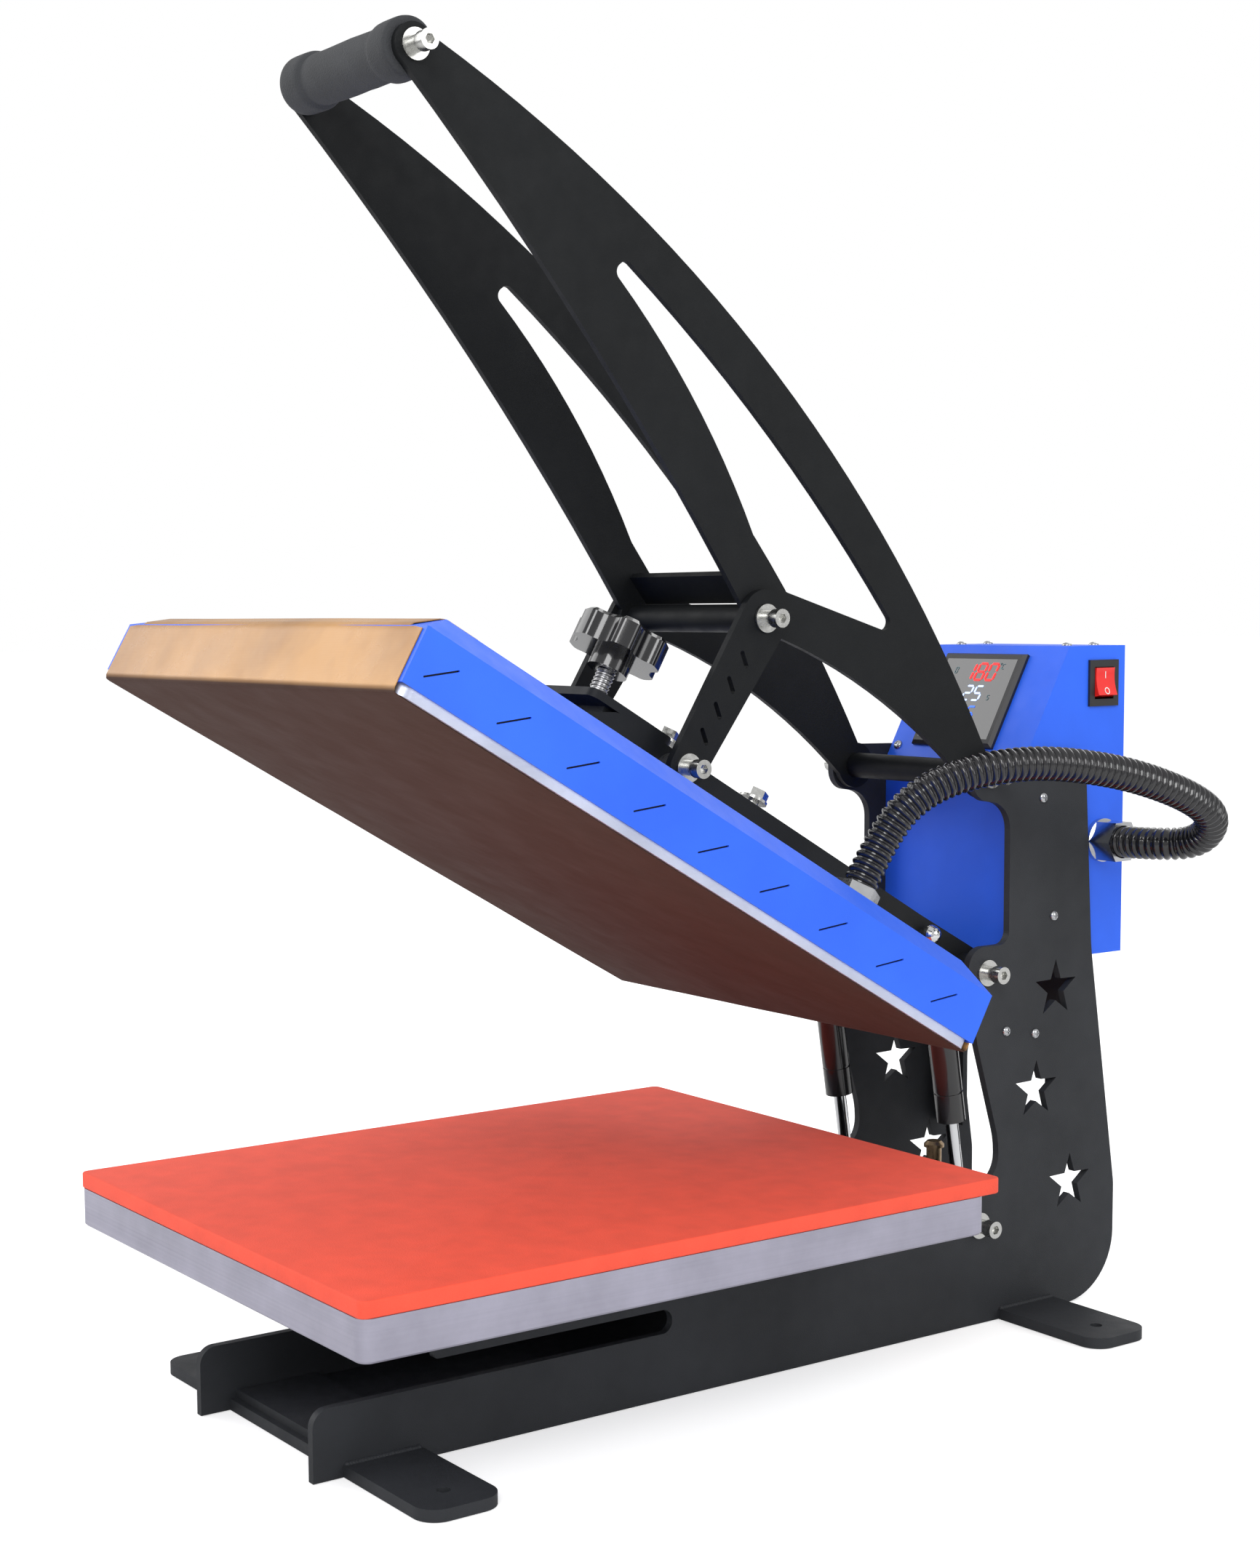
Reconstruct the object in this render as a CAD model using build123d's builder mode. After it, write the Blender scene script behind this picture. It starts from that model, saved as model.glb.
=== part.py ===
"""Auto-open clamshell heat press for flat goods, with a 400 by 500 mm platen.

Millimetres, +Z up. X runs across the machine, Y from the operator to the tower.
The origin is on the bench, at the centre of the four foot bolt holes.
Side profiles are drawn in a plane whose first coordinate is measured back from
the front edge of the lower platen, and whose second is the height off the bench.
Heat platen pieces are drawn in the open platen's own plane: s runs forward
from its rear lower edge, n runs up from its pressing face.
"""

import os
from math import atan2, cos, degrees, pi, radians, sin, tan

from build123d import *

os.makedirs("parts", exist_ok=True)

# Clearances
run_fit = 0.05
part_gap = 0.3

# Feet
foot_front_y = 82
foot_rear_y = 660
foot_t = 8
foot_w = 58
foot_length = 366
foot_corner = 16
foot_hole_x = 155
foot_hole_d = 9
datum_y = (foot_front_y + foot_rear_y) / 2

# Side plates, each one rail and tower
plate_t = 6
plate_outer_x = 82
plate_inner_x = plate_outer_x - plate_t
rail_front_y = 31
rail_h = 47
rail_corner = 12
slot_h = 17
slot_end_y = 315
nose_y = 120
nose_slope = 14
tower_front_y = 606
tower_waist_y = 629
tower_rear_y = 757
tower_top_z = 438
tower_top_rear_y = 719
throat_y = 638
throat_low_z = 291
tower_waist_z = 140
tower_front_z = 216
tower_shoulder_z = 282
tower_shoulder_out = 9
tower_foot_z = 90
nose_r = 3
support_r = 10
waist_foot_r = 22
waist_r = 60
lobe_foot_r = 8
throat_r = 10
throat_top_r = 22
tower_top_r = 8
tower_shoulder_r = 120
tower_back_r = 50
tower_foot_r = 52
lobe_r = 18
star_r = 23
star_inner_r = 9.2
star_points = 5
star_spots = ((689, 252), (669, 175), (707, 97))

# Lower platen, its pad and the bars under it
platen_w = 400
platen_l = 500
platen_z = 113
platen_t = 27
platen_corner = 9
platen_edge = 1.5
pad_t = 11
pad_over_rear = 14
pad_corner = 6
support_t = 6
support_w = 40
support_span = 190
support_ys = (160, 430)

# Plates that tie the side plates together
cross_plate_t = 6
floor_pan_t = 3
floor_pan_l = 480
cross_front_y = 58
cross_front_w = 62
back_plate_t = 5
back_plate_y = 716
back_plate_low_z = 118
back_plate_top_z = 262
arch_w = 92
arch_h = 88
arch_r = 30

# Pivots in the side plane
arm_pivot_y = 615
arm_pivot_z = 271
handle_pivot_y = 617
handle_pivot_z = 421
link_top_y = 400
link_top_z = 540
spring_foot_y = 609
spring_foot_z = 77

# Heat platen at rest, open
open_tilt = 29.84
pivot_behind = 120.5
pivot_rise = 91.7
slab_t = 30
slab_corner = 9
cover_w = 404
cover_rear_s = -16.6
cover_front_s = 503
cover_low_n = 6.7
cover_top_n = 58
cover_wall = 1.5
bevel_drop = 15
bevel_in = 20
sheet_t = 0.8
sheet_lap = 26
sheet_inset = 4
sheet_w = cover_w - 2 * sheet_inset
sheet_fold_w = cover_w - 2 * bevel_in - 2
louvre_count = 9
louvre_l = 25
louvre_h = 1.2
louvre_pitch = 57.2
louvre_first_s = 24
louvre_n = 23
louvre_lean = 144
heater_d = 8
heater_runs = 6
heater_pitch = 62
heater_half_run = 200
insulation_t = 10
insulation_inset = 14

# Arms that carry the heat platen
arm_t = 6
arm_outer_x = 56
arm_inner_x = arm_outer_x - arm_t
arm_front_s = 300
arm_low_n = 72
arm_top_n = 109
arm_nose_n = 90
arm_heel = 21
pivot_tube_d = 24
cross_bar_t = 8
cross_bar_w = 34
cross_bar_top_n = 102
guide_bolt_s = (86, 181)
guide_bolt_d = 10
guide_head_af = 17
guide_head_h = 6.5
guide_washer_d = 22
guide_washer_t = 2
guide_foot_d = 24
guide_foot_h = 6
guide_play = 1.5
screw_s = 250
screw_block_l = 44
screw_block_low_n = 80
screw_plate_t = 6
screw_plate_l = 78
screw_plate_corner = 8
screw_d = 14
screw_nut_af = 24
screw_nut_h = 6
lift_travel = 24
thrust_pad_d = 34
thrust_pad_t = 8
thrust_seat_t = 2

# Knob
knob_d = 70
knob_lobes = 6
knob_h = 22
knob_low_n = 159
knob_edge = 3
knob_lobe_r = 5
knob_hub_d = 30
knob_hub_h = 12
knob_scoop_r = 13
knob_scoop_out = 41
knob_crown_d = 34
knob_crown_h = 4
screw_hold = 18

# Links between handle and arms
link_t = 5.5
link_inner_x = 74.5
link_outer_x = link_inner_x + link_t
link_top_r = 20
link_low_r = 15
link_low_s = 209
link_low_n = 96
link_notches = 4
link_notch_l = 13
link_notch_h = 3.5
link_notch_pitch = 21
link_notch_first = 34
link_notch_lean = 35
spacer_d = 18

# Handle
handle_t = 5
handle_outer_x = 74
handle_inner_x = handle_outer_x - handle_t
hinge_tube_d = 20
hinge_washer_d = 24
handle_hinge_r = 18
handle_link_r = 16
handle_grip_r = 14
handle_rear_sag = 53
handle_front_sag = 10
handle_heel_sag = 12
window_front_tip = (274.7, 769.7)
window_rear_tip = (285.6, 777.9)
window_toe = (531.9, 525.3)
window_heel = (421.8, 558.7)
window_front = (394.2, 596.8)
window_rear_sag = 11.5
window_front_sag = 9
window_corner = 6
window_heel_r = 10
brace_t = 5
brace_w = 25
brace_y = 402
brace_z = 562
brace_turn = -51.5
grip_y = 124
grip_z = 896
grip_tube_d = 25
grip_d = 39
grip_waist_d = 33
grip_end_l = 22
grip_neck_l = 14
grip_end_r = 6
grip_blend_r = 12

# Socket head bolts, M8
bolt_d = 8
bolt_head_d = 13
bolt_head_h = 8
bolt_hex = 6
bolt_hex_depth = 5
washer_d = 20
washer_t = 2
low_head_t = 5
bolt_reach = 20
hinge_reach = 30
link_bolt_reach = 24
neck_d = 11
neck_l = 8

# Gas springs
spring_x = 64
spring_tube_d = 22
spring_rod_d = 10
spring_top_s = -70
spring_top_n = 98
spring_head = 46
spring_tube_l = 100
spring_cap_t = 4
spring_collar_l = 22
spring_collar_groove = 0.8
spring_rod_room = 30
spring_eye_d = 22
spring_eye_t = 12
spring_neck_d = 11
ball_d = 15
ball_facets = 12
ball_stem_d = 8
ball_gap = 2.5
foot_shaft_d = 12

# Holding magnet and its stud
magnet_y = 640
magnet_d = 44
magnet_h = 38
magnet_bar_z = 58
magnet_bar_t = 6
magnet_bar_w = 56
stud_d = 12
stud_dome_d = 16
stud_dome_h = 5
stud_top_z = 124

# Control box
box_half_w = plate_inner_x
box_front_y = 656
box_rear_y = 768
box_low_z = 274
box_top_z = 516
box_slope_y = 706
box_slope_z = 425
box_wall = 1.5
back_cover_t = 1.5
display_x = -6
display_w = 89
display_h = 82
display_up = 54
display_t = 5
display_rim = 6
display_bevel = 2.5
display_glass_t = 1.5
switch_y = 743
switch_z = 487
switch_w = 32
switch_h = 36
switch_rim_t = 2
switch_rim = 4
switch_depth = 22
switch_wall = 1.5
rocker_tilt = 8
rocker_in = 4
rocker_proud = 3
rocker_dip = 1.6
rocker_tail = 9
rocker_tail_h = 6
rocker_pin_d = 3
inlet_w = 28
inlet_h = 20
inlet_depth = 18
inlet_wall = 2
inlet_z = 320
inlet_flange = 4
board_w = 110
board_h = 140
board_t = 1.6
board_off = 8
board_z = 412
post_d = 6
box_screw_xs = (-58, 58)
box_screw_ys = (722, 752)
slope_screw_x = 68
slope_screw_up = 12
tower_screw_spots = ((673, 401), (686, 309), (636, 224), (667, 219))

# Conduit hose and its two hex glands
hose_d = 25
gland_af = 30
gland_h = 22
gland_bore_d = hose_d + 2 * part_gap
gland_x = 120
gland_s = 62
box_gland_y = 743
box_gland_z = 364
box_gland_l = 20
box_gland_ring_t = 4
box_gland_ring_d = 34
hose_start_n = 51
hose_rise_n = 105
hose_route = (
    (136, 492, 420),
    (162, 560, 438),
    (178, 640, 430),
    (187, 709, 410),
    (184, 751, 389),
    (158, 763, 366),
    (122, 743, 364),
)
hose_end_x = 82
hose_bend = 0.45

# Small pan head screws
small_head_d = 8
small_head_h = 2.6

# Derived places
tilt = radians(open_tilt)
s_axis = Vector(0, -cos(tilt), sin(tilt))
n_axis = Vector(0, sin(tilt), cos(tilt))
arm_pivot = Vector(0, arm_pivot_y - datum_y, arm_pivot_z)
handle_pivot = Vector(0, handle_pivot_y - datum_y, handle_pivot_z)
link_top = Vector(0, link_top_y - datum_y, link_top_z)
grip_axis = Vector(0, grip_y - datum_y, grip_z)
spring_foot = Vector(0, spring_foot_y - datum_y, spring_foot_z)
platen_root = arm_pivot + s_axis * pivot_behind - n_axis * pivot_rise
support_z = platen_z - support_t
platen_mid_s = (cover_rear_s + cover_front_s) / 2


def on_platen(s, n, x=0):
    """Point given in the open heat platen's plane."""
    return platen_root + s_axis * s + n_axis * n + Vector(x, 0, 0)


def side(x):
    """Side plane at x, drawn as (back from the platen's front edge, height)."""
    return Plane(origin=(x, -datum_y, 0), x_dir=(0, 1, 0), z_dir=(1, 0, 0))


def arm_side(x):
    """Side plane at x in the open heat platen's frame, drawn as (s, n), facing -X."""
    return Plane(origin=on_platen(0, 0, x), x_dir=s_axis, z_dir=(-1, 0, 0))


def deck(n, s=0, x=0):
    """Plane parallel to the open heat platen at height n, drawn as (x, back from s)."""
    return Plane(origin=on_platen(s, n, x), x_dir=(1, 0, 0), z_dir=n_axis)


def level(z, y=0):
    """Level plane at height z, drawn as (x, back from y)."""
    return Plane(origin=(0, y - datum_y, z), x_dir=(1, 0, 0), z_dir=(0, 0, 1))


def upright(y, z=0):
    """Upright plane across the machine at y, facing the operator, drawn as (x, height)."""
    return Plane(origin=(0, y - datum_y, z), x_dir=(1, 0, 0), z_dir=(0, -1, 0))


def outward(x, place):
    """Plane at x on a side of the machine, at a place in the side plane, facing out."""
    return Plane(origin=(x, place.Y, place.Z), x_dir=(0, 1, 0), z_dir=(1 if x > 0 else -1, 0, 0))


def both_sides(x, place):
    """The same outward plane on the right and on the left."""
    return [outward(x, place), outward(-x, place)]


link_low = on_platen(link_low_s, link_low_n)
spring_top = on_platen(spring_top_s, spring_top_n)
spring_line = spring_top - spring_foot
spring_length = spring_line.length
spring_up = spring_line.normalized()


def finish(piece, name):
    """Label a piece and write it as its own node."""
    piece.part.label = name
    export_step(piece.part, f"parts/{name}.step")


def disc(seat, diameter, start, length):
    """Round bar along a plane's normal, from start on."""
    with BuildSketch(seat.offset(start)) as section:
        Circle(diameter / 2)
    extrude(section.sketch, amount=length)


def bore(seat, diameter, start, length):
    """Round hole along a plane's normal, from start on."""
    with BuildSketch(seat.offset(start)) as section:
        Circle(diameter / 2)
    extrude(section.sketch, amount=length, mode=Mode.SUBTRACT)


def top_face(piece, direction):
    """Outermost face of a piece in a direction."""
    return piece.faces().sort_by(Axis((0, 0, 0), direction))[-1]


def bolt_pair(x, place, reach=bolt_reach):
    """Seats on both sides of the machine, each with how far its bolt reaches in."""
    return [(seat, reach) for seat in both_sides(x, place)]


def cap_bolts(name, seats, low_seats=()):
    """Socket head bolts, each with its washer, collar and shank; low seats get a flat head."""
    with BuildPart() as bolts:
        for seat, reach in low_seats:
            disc(seat, washer_d, 0, low_head_t)
            disc(seat, bolt_d, 0, -reach)
        for seat, reach in seats:
            disc(seat, washer_d, 0, washer_t)
            disc(seat, neck_d, washer_t, neck_l)
            disc(seat, bolt_head_d, washer_t + neck_l, bolt_head_h)
            with BuildSketch(seat.offset(washer_t + neck_l + bolt_head_h)):
                RegularPolygon(bolt_hex / 2, 6, major_radius=False)
            extrude(amount=-bolt_hex_depth, mode=Mode.SUBTRACT)
            disc(seat, bolt_d, 0, -reach)
    finish(bolts, name)


def pan_screws(name, seats):
    """Small domed screws seated on a face."""
    with BuildPart() as screws:
        for seat in seats:
            disc(seat, small_head_d, 0, small_head_h / 2)
            with BuildSketch(seat.offset(small_head_h / 2)):
                Circle(small_head_d / 2)
            extrude(amount=small_head_h / 2, taper=45)
    finish(screws, name)


def side_plate_outline():
    """Rail with its open slot, throat between the two pivots, and tower."""
    points = (
        (rail_front_y, 0),
        (rail_front_y, rail_h),
        (slot_end_y, rail_h),
        (slot_end_y, rail_h + slot_h),
        (nose_y, rail_h + slot_h),
        (nose_y + nose_slope, support_z),
        (tower_waist_y, support_z),
        (tower_waist_y, tower_waist_z),
        (tower_front_y, tower_front_z),
        (arm_pivot_y - lobe_r - 1, arm_pivot_z - 6),
        (arm_pivot_y - lobe_r - 1, throat_low_z),
        (throat_y, throat_low_z),
        (throat_y, handle_pivot_z - lobe_r - 5),
        (handle_pivot_y - lobe_r, handle_pivot_z - lobe_r),
        (handle_pivot_y - lobe_r, tower_top_z),
        (tower_top_rear_y, tower_top_z - 3),
        (tower_top_rear_y + tower_shoulder_out, tower_shoulder_z),
        (tower_rear_y, tower_foot_z),
        (tower_rear_y, 0),
    )
    slot_r = slot_h / 2 - 0.2
    radii = (0, rail_corner, slot_r, slot_r, nose_r, support_r, waist_foot_r, waist_r, waist_r,
             lobe_foot_r, lobe_r - 2, throat_r, throat_top_r, lobe_r - 2, lobe_r - 2, tower_top_r,
             tower_shoulder_r, tower_back_r, tower_foot_r)
    FilletPolyline(*points, radius=radii, close=True)


def star_outline(centre):
    """Star about a centre, one point up."""
    corners = []
    for k in range(2 * star_points):
        reach = star_r if k % 2 == 0 else star_inner_r
        turn = pi / 2 + pi * k / star_points
        corners.append((centre[0] + reach * cos(turn), centre[1] + reach * sin(turn)))
    Polyline(*corners, close=True)


# Side plates: rail, slot, throat, stars and pivot holes
for hand, sign in (("right", 1), ("left", -1)):
    with BuildPart() as side_plate:
        with BuildSketch(side(sign * plate_outer_x)):
            with BuildLine():
                side_plate_outline()
            make_face()
            for star_centre in star_spots:
                with BuildLine():
                    star_outline(star_centre)
                make_face(mode=Mode.SUBTRACT)
            with Locations((arm_pivot_y, arm_pivot_z), (handle_pivot_y, handle_pivot_z),
                           (spring_foot_y, spring_foot_z)):
                Circle(bolt_d / 2, mode=Mode.SUBTRACT)
            with Locations((foot_front_y, 0), (foot_rear_y, 0)):
                Rectangle(foot_w, 2 * foot_t, mode=Mode.SUBTRACT)
        extrude(amount=-sign * plate_t)
    finish(side_plate, f"side_plate_{hand}")

# Feet: flat bars let into the side plates, one bolt hole at each end
for foot_name, foot_y in (("front_foot", foot_front_y), ("rear_foot", foot_rear_y)):
    with BuildPart() as foot:
        with BuildSketch(level(0, foot_y)):
            RectangleRounded(foot_length, foot_w, foot_corner)
            with Locations((foot_hole_x, 0), (-foot_hole_x, 0)):
                Circle(foot_hole_d / 2, mode=Mode.SUBTRACT)
        extrude(amount=foot_t)
    finish(foot, foot_name)

# Cross plate at the front of the rails, on the front foot, and the floor pan behind it
with BuildPart() as front_cross_plate:
    with BuildSketch(level(foot_t, cross_front_y)):
        Rectangle(2 * plate_inner_x, cross_front_w, align=(Align.CENTER, Align.MIN))
    extrude(amount=cross_plate_t)
    with BuildSketch(level(foot_t, cross_front_y)):
        Rectangle(2 * plate_inner_x, floor_pan_l, align=(Align.CENTER, Align.MIN))
    extrude(amount=floor_pan_t)
finish(front_cross_plate, "front_cross_plate")

# Rear cross plate between the towers, arched over the springs and the magnet
with BuildPart() as back_plate:
    with BuildSketch(upright(back_plate_y)):
        with Locations((0, back_plate_low_z)):
            Rectangle(2 * plate_inner_x, back_plate_top_z - back_plate_low_z,
                      align=(Align.CENTER, Align.MIN))
            Rectangle(arch_w, arch_h, align=(Align.CENTER, Align.MIN), mode=Mode.SUBTRACT)
        arch_level = back_plate_low_z + arch_h
        fillet(vertices().filter_by_position(Axis.Y, arch_level - 1, arch_level + 1), arch_r)
    extrude(amount=-back_plate_t)
finish(back_plate, "back_plate")

# Bars across the rails that carry the lower platen
with BuildPart() as platen_bars:
    for bar_y in support_ys:
        with BuildSketch(level(support_z, bar_y)):
            Rectangle(support_span, support_w)
        extrude(amount=support_t)
finish(platen_bars, "platen_bars")

# Lower platen
with BuildPart() as lower_platen:
    with BuildSketch(level(platen_z, platen_l / 2)):
        RectangleRounded(platen_w, platen_l, platen_corner)
    extrude(amount=platen_t)
    chamfer(lower_platen.faces().sort_by(Axis.Z)[0].outer_wire().edges(), platen_edge)
finish(lower_platen, "lower_platen")

# Silicone pad on the lower platen
with BuildPart() as silicone_pad:
    with BuildSketch(level(platen_z + platen_t, (platen_l + pad_over_rear) / 2)):
        RectangleRounded(platen_w, platen_l + pad_over_rear, pad_corner)
    extrude(amount=pad_t)
finish(silicone_pad, "silicone_pad")

# Shaft at the foot of the gas springs
with BuildPart() as spring_shaft:
    shaft_start = outward(plate_inner_x, spring_foot)
    disc(shaft_start, foot_shaft_d, 0, -2 * plate_inner_x)
    shaft_bore = bolt_reach - plate_t
    bore(shaft_start, bolt_d, 0, -shaft_bore)
    bore(shaft_start, bolt_d, -2 * plate_inner_x, shaft_bore)
finish(spring_shaft, "spring_shaft")

# Holding magnet on its bar, with the domed stud above it
with BuildPart() as magnet_bar:
    with BuildSketch(level(magnet_bar_z - magnet_bar_t, magnet_y)):
        Rectangle(2 * plate_inner_x, magnet_bar_w)
    extrude(amount=magnet_bar_t)
finish(magnet_bar, "magnet_bar")

magnet_seat = level(magnet_bar_z, magnet_y)
with BuildPart() as holding_magnet:
    disc(magnet_seat, magnet_d, 0, magnet_h)
    with BuildSketch(magnet_seat.offset(magnet_h)):
        Circle(magnet_d / 2 - 3)
        Circle(magnet_d / 2 - 8, mode=Mode.SUBTRACT)
    extrude(amount=-2, mode=Mode.SUBTRACT)
finish(holding_magnet, "holding_magnet")

with BuildPart() as magnet_stud:
    stud_l = stud_top_z - stud_dome_h - magnet_bar_z - magnet_h
    disc(magnet_seat, stud_d, magnet_h, stud_l)
    disc(magnet_seat, stud_dome_d, magnet_h + stud_l, stud_dome_h / 2)
    with BuildSketch(magnet_seat.offset(magnet_h + stud_l + stud_dome_h / 2)):
        Circle(stud_dome_d / 2)
    extrude(amount=stud_dome_h / 2, taper=45)
finish(magnet_stud, "magnet_stud")

# Pivot bolts through the towers
cap_bolts("tower_bolts", bolt_pair(plate_outer_x, spring_foot) + bolt_pair(plate_outer_x, arm_pivot)
          + bolt_pair(plate_outer_x, handle_pivot, hinge_reach))
with BuildPart() as hinge_washers:
    washer_room = plate_inner_x - handle_outer_x - part_gap
    for washer_seat in both_sides(plate_inner_x, handle_pivot):
        disc(washer_seat, hinge_washer_d, 0, -washer_room)
        bore(washer_seat, bolt_d, 0, -washer_room)
finish(hinge_washers, "hinge_washers")

# Control box: folded cover, open at the back
slope_foot = Vector(0, box_front_y - datum_y, box_slope_z)
slope_head = Vector(0, box_slope_y - datum_y, box_top_z)
slope_axis = (slope_head - slope_foot).normalized()
slope_out = Vector(1, 0, 0).cross(slope_axis)
box_side_y = box_rear_y - back_cover_t


def on_slope(up, x=0, out=0):
    """Plane on the box's sloping front, drawn as (x, up the slope), facing out."""
    spot = slope_foot + slope_axis * up + slope_out * out + Vector(x, 0, 0)
    return Plane(origin=spot, x_dir=(1, 0, 0), z_dir=slope_out)


switch_spot = Vector(box_half_w, switch_y - datum_y, switch_z)
switch_seat = outward(box_half_w, switch_spot)
box_gland_spot = Vector(0, box_gland_y - datum_y, box_gland_z)
box_gland_seat = outward(box_half_w, box_gland_spot)
with BuildPart() as control_box:
    with BuildSketch(side(-box_half_w)):
        with BuildLine():
            Polyline((box_side_y, box_low_z), (box_front_y, box_low_z), (box_front_y, box_slope_z),
                     (box_slope_y, box_top_z), (box_side_y, box_top_z), close=True)
        make_face()
    extrude(amount=2 * box_half_w)
    offset(amount=-box_wall, openings=control_box.faces().sort_by(Axis.Y)[-1])
    with BuildSketch(switch_seat):
        Rectangle(switch_w - 2 * switch_rim, switch_h - 2 * switch_rim)
    extrude(amount=-box_wall * 2, mode=Mode.SUBTRACT)
    bore(box_gland_seat, gland_bore_d, 0, -box_wall * 2)
finish(control_box, "control_box")

inlet_plane = Plane(origin=(0, box_side_y - datum_y, inlet_z), x_dir=(-1, 0, 0), z_dir=(0, 1, 0))
with BuildPart() as box_back_cover:
    with BuildSketch(upright(box_rear_y)):
        with Locations((0, (box_low_z + box_top_z) / 2)):
            Rectangle(2 * box_half_w, box_top_z - box_low_z)
        with Locations((0, inlet_z)):
            Rectangle(inlet_w, inlet_h, mode=Mode.SUBTRACT)
    extrude(amount=back_cover_t)
finish(box_back_cover, "box_back_cover")

# Power inlet let into the back cover
with BuildPart() as power_inlet:
    with BuildSketch(inlet_plane.offset(-inlet_depth)):
        Rectangle(inlet_w, inlet_h)
    extrude(amount=inlet_depth + back_cover_t)
    with BuildSketch(inlet_plane.offset(back_cover_t)):
        Rectangle(inlet_w + 2 * inlet_flange, inlet_h + 2 * inlet_flange)
    extrude(amount=inlet_wall)
    with BuildSketch(inlet_plane.offset(back_cover_t + inlet_wall)):
        Rectangle(inlet_w - 2 * inlet_wall, inlet_h - 2 * inlet_wall)
    extrude(amount=-(inlet_depth + back_cover_t), mode=Mode.SUBTRACT)
    with BuildSketch(inlet_plane.offset(-inlet_depth)):
        with GridLocations(7, 0, 3, 1):
            Rectangle(2, 5)
    extrude(amount=inlet_depth - 2)
finish(power_inlet, "power_inlet")

# Circuit board on posts inside the back cover
with BuildPart() as control_board:
    with BuildSketch(upright(box_side_y - board_off)):
        with Locations((0, board_z)):
            Rectangle(board_w, board_h)
    extrude(amount=board_t)
    with BuildSketch(upright(box_side_y)):
        with Locations((0, board_z)):
            with GridLocations(board_w - 3 * post_d, board_h - 3 * post_d, 2, 2):
                Circle(post_d / 2)
    extrude(amount=board_off)
    with BuildSketch(upright(box_side_y - board_off - board_t)):
        with Locations((-22, board_z + 30), (18, board_z - 28)):
            Rectangle(34, 28)
    extrude(amount=16)
finish(control_board, "control_board")

# Display: bezel with a pocket on the slope, and the window in it
with BuildPart() as display_bezel:
    with BuildSketch(on_slope(display_up, display_x)):
        Rectangle(display_w, display_h)
    extrude(amount=display_t)
    chamfer(top_face(display_bezel, slope_out).outer_wire().edges(), display_bevel)
    with BuildSketch(on_slope(display_up, display_x, display_t)):
        Rectangle(display_w - 2 * display_rim, display_h - 2 * display_rim)
    extrude(amount=-display_glass_t, mode=Mode.SUBTRACT)
finish(display_bezel, "display_bezel")

with BuildPart() as display_window:
    with BuildSketch(on_slope(display_up, display_x, display_t - display_glass_t)):
        Rectangle(display_w - 2 * display_rim, display_h - 2 * display_rim)
    extrude(amount=display_glass_t)
finish(display_window, "display_window")

# Power switch: flanged case through the box side, and its rocker on a pin
rocker_w = switch_w - 2 * switch_rim - 2 * switch_wall - 2 * part_gap
rocker_h = switch_h - 2 * switch_rim - 2 * switch_wall - 2 * part_gap - 1
rocker_out = rocker_in + switch_rim_t + rocker_proud
rocker_pin_half = rocker_w / 2 + switch_wall
rocker_spot = switch_spot - Vector(rocker_in, 0, 0)
rocker_lean = radians(rocker_tilt)
rocker_seat = Plane(origin=rocker_spot, x_dir=(cos(rocker_lean), 0, sin(rocker_lean)), z_dir=(0, -1, 0))
with BuildPart() as switch_case:
    with BuildSketch(switch_seat):
        Rectangle(switch_w, switch_h)
    extrude(amount=switch_rim_t)
    with BuildSketch(switch_seat):
        Rectangle(switch_w - 2 * switch_rim, switch_h - 2 * switch_rim)
    extrude(amount=-switch_depth)
    with BuildSketch(switch_seat.offset(switch_rim_t)):
        Rectangle(switch_w - 2 * switch_rim - 2 * switch_wall, switch_h - 2 * switch_rim - 2 * switch_wall)
    extrude(amount=-switch_depth + switch_wall, mode=Mode.SUBTRACT)
    bore(rocker_seat, rocker_pin_d + 2 * run_fit, -rocker_pin_half - part_gap,
         2 * rocker_pin_half + 2 * part_gap)
finish(switch_case, "switch_case")

with BuildPart() as switch_rocker:
    with BuildSketch(rocker_seat.offset(-rocker_w / 2)):
        with BuildLine():
            Polyline((-rocker_tail, -rocker_tail_h / 2), (-rocker_tail, rocker_tail_h / 2),
                     (0, rocker_h / 2), (rocker_out, rocker_h / 2 - 1))
            ThreePointArc((rocker_out, rocker_h / 2 - 1), (rocker_out - rocker_dip, 0),
                          (rocker_out, -rocker_h / 2 + 1))
            Polyline((rocker_out, -rocker_h / 2 + 1), (0, -rocker_h / 2),
                     (-rocker_tail, -rocker_tail_h / 2))
        make_face()
    extrude(amount=rocker_w)
    disc(rocker_seat, rocker_pin_d, -rocker_pin_half, 2 * rocker_pin_half)
finish(switch_rocker, "switch_rocker")

# Small screws in the box and the towers
panel_screw_seats = []
for screw_x in box_screw_xs:
    for screw_y in box_screw_ys:
        panel_screw_seats.append(Plane(origin=(screw_x, screw_y - datum_y, box_top_z), z_dir=(0, 0, 1)))
for screw_x in (-slope_screw_x, slope_screw_x):
    panel_screw_seats.append(on_slope(slope_screw_up, screw_x))
for screw_y, screw_z in tower_screw_spots:
    panel_screw_seats += both_sides(plate_outer_x, Vector(0, screw_y - datum_y, screw_z))
pan_screws("panel_screws", panel_screw_seats)

# Hex gland of the conduit on the box
with BuildPart() as box_gland:
    disc(box_gland_seat, box_gland_ring_d, 0, box_gland_ring_t)
    with BuildSketch(box_gland_seat.offset(box_gland_ring_t)):
        RegularPolygon(gland_af / 2, 6, major_radius=False)
    extrude(amount=box_gland_l)
    bore(box_gland_seat, gland_bore_d, box_gland_ring_t + box_gland_l, -box_gland_ring_t - box_gland_l)
finish(box_gland, "box_gland")

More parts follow.
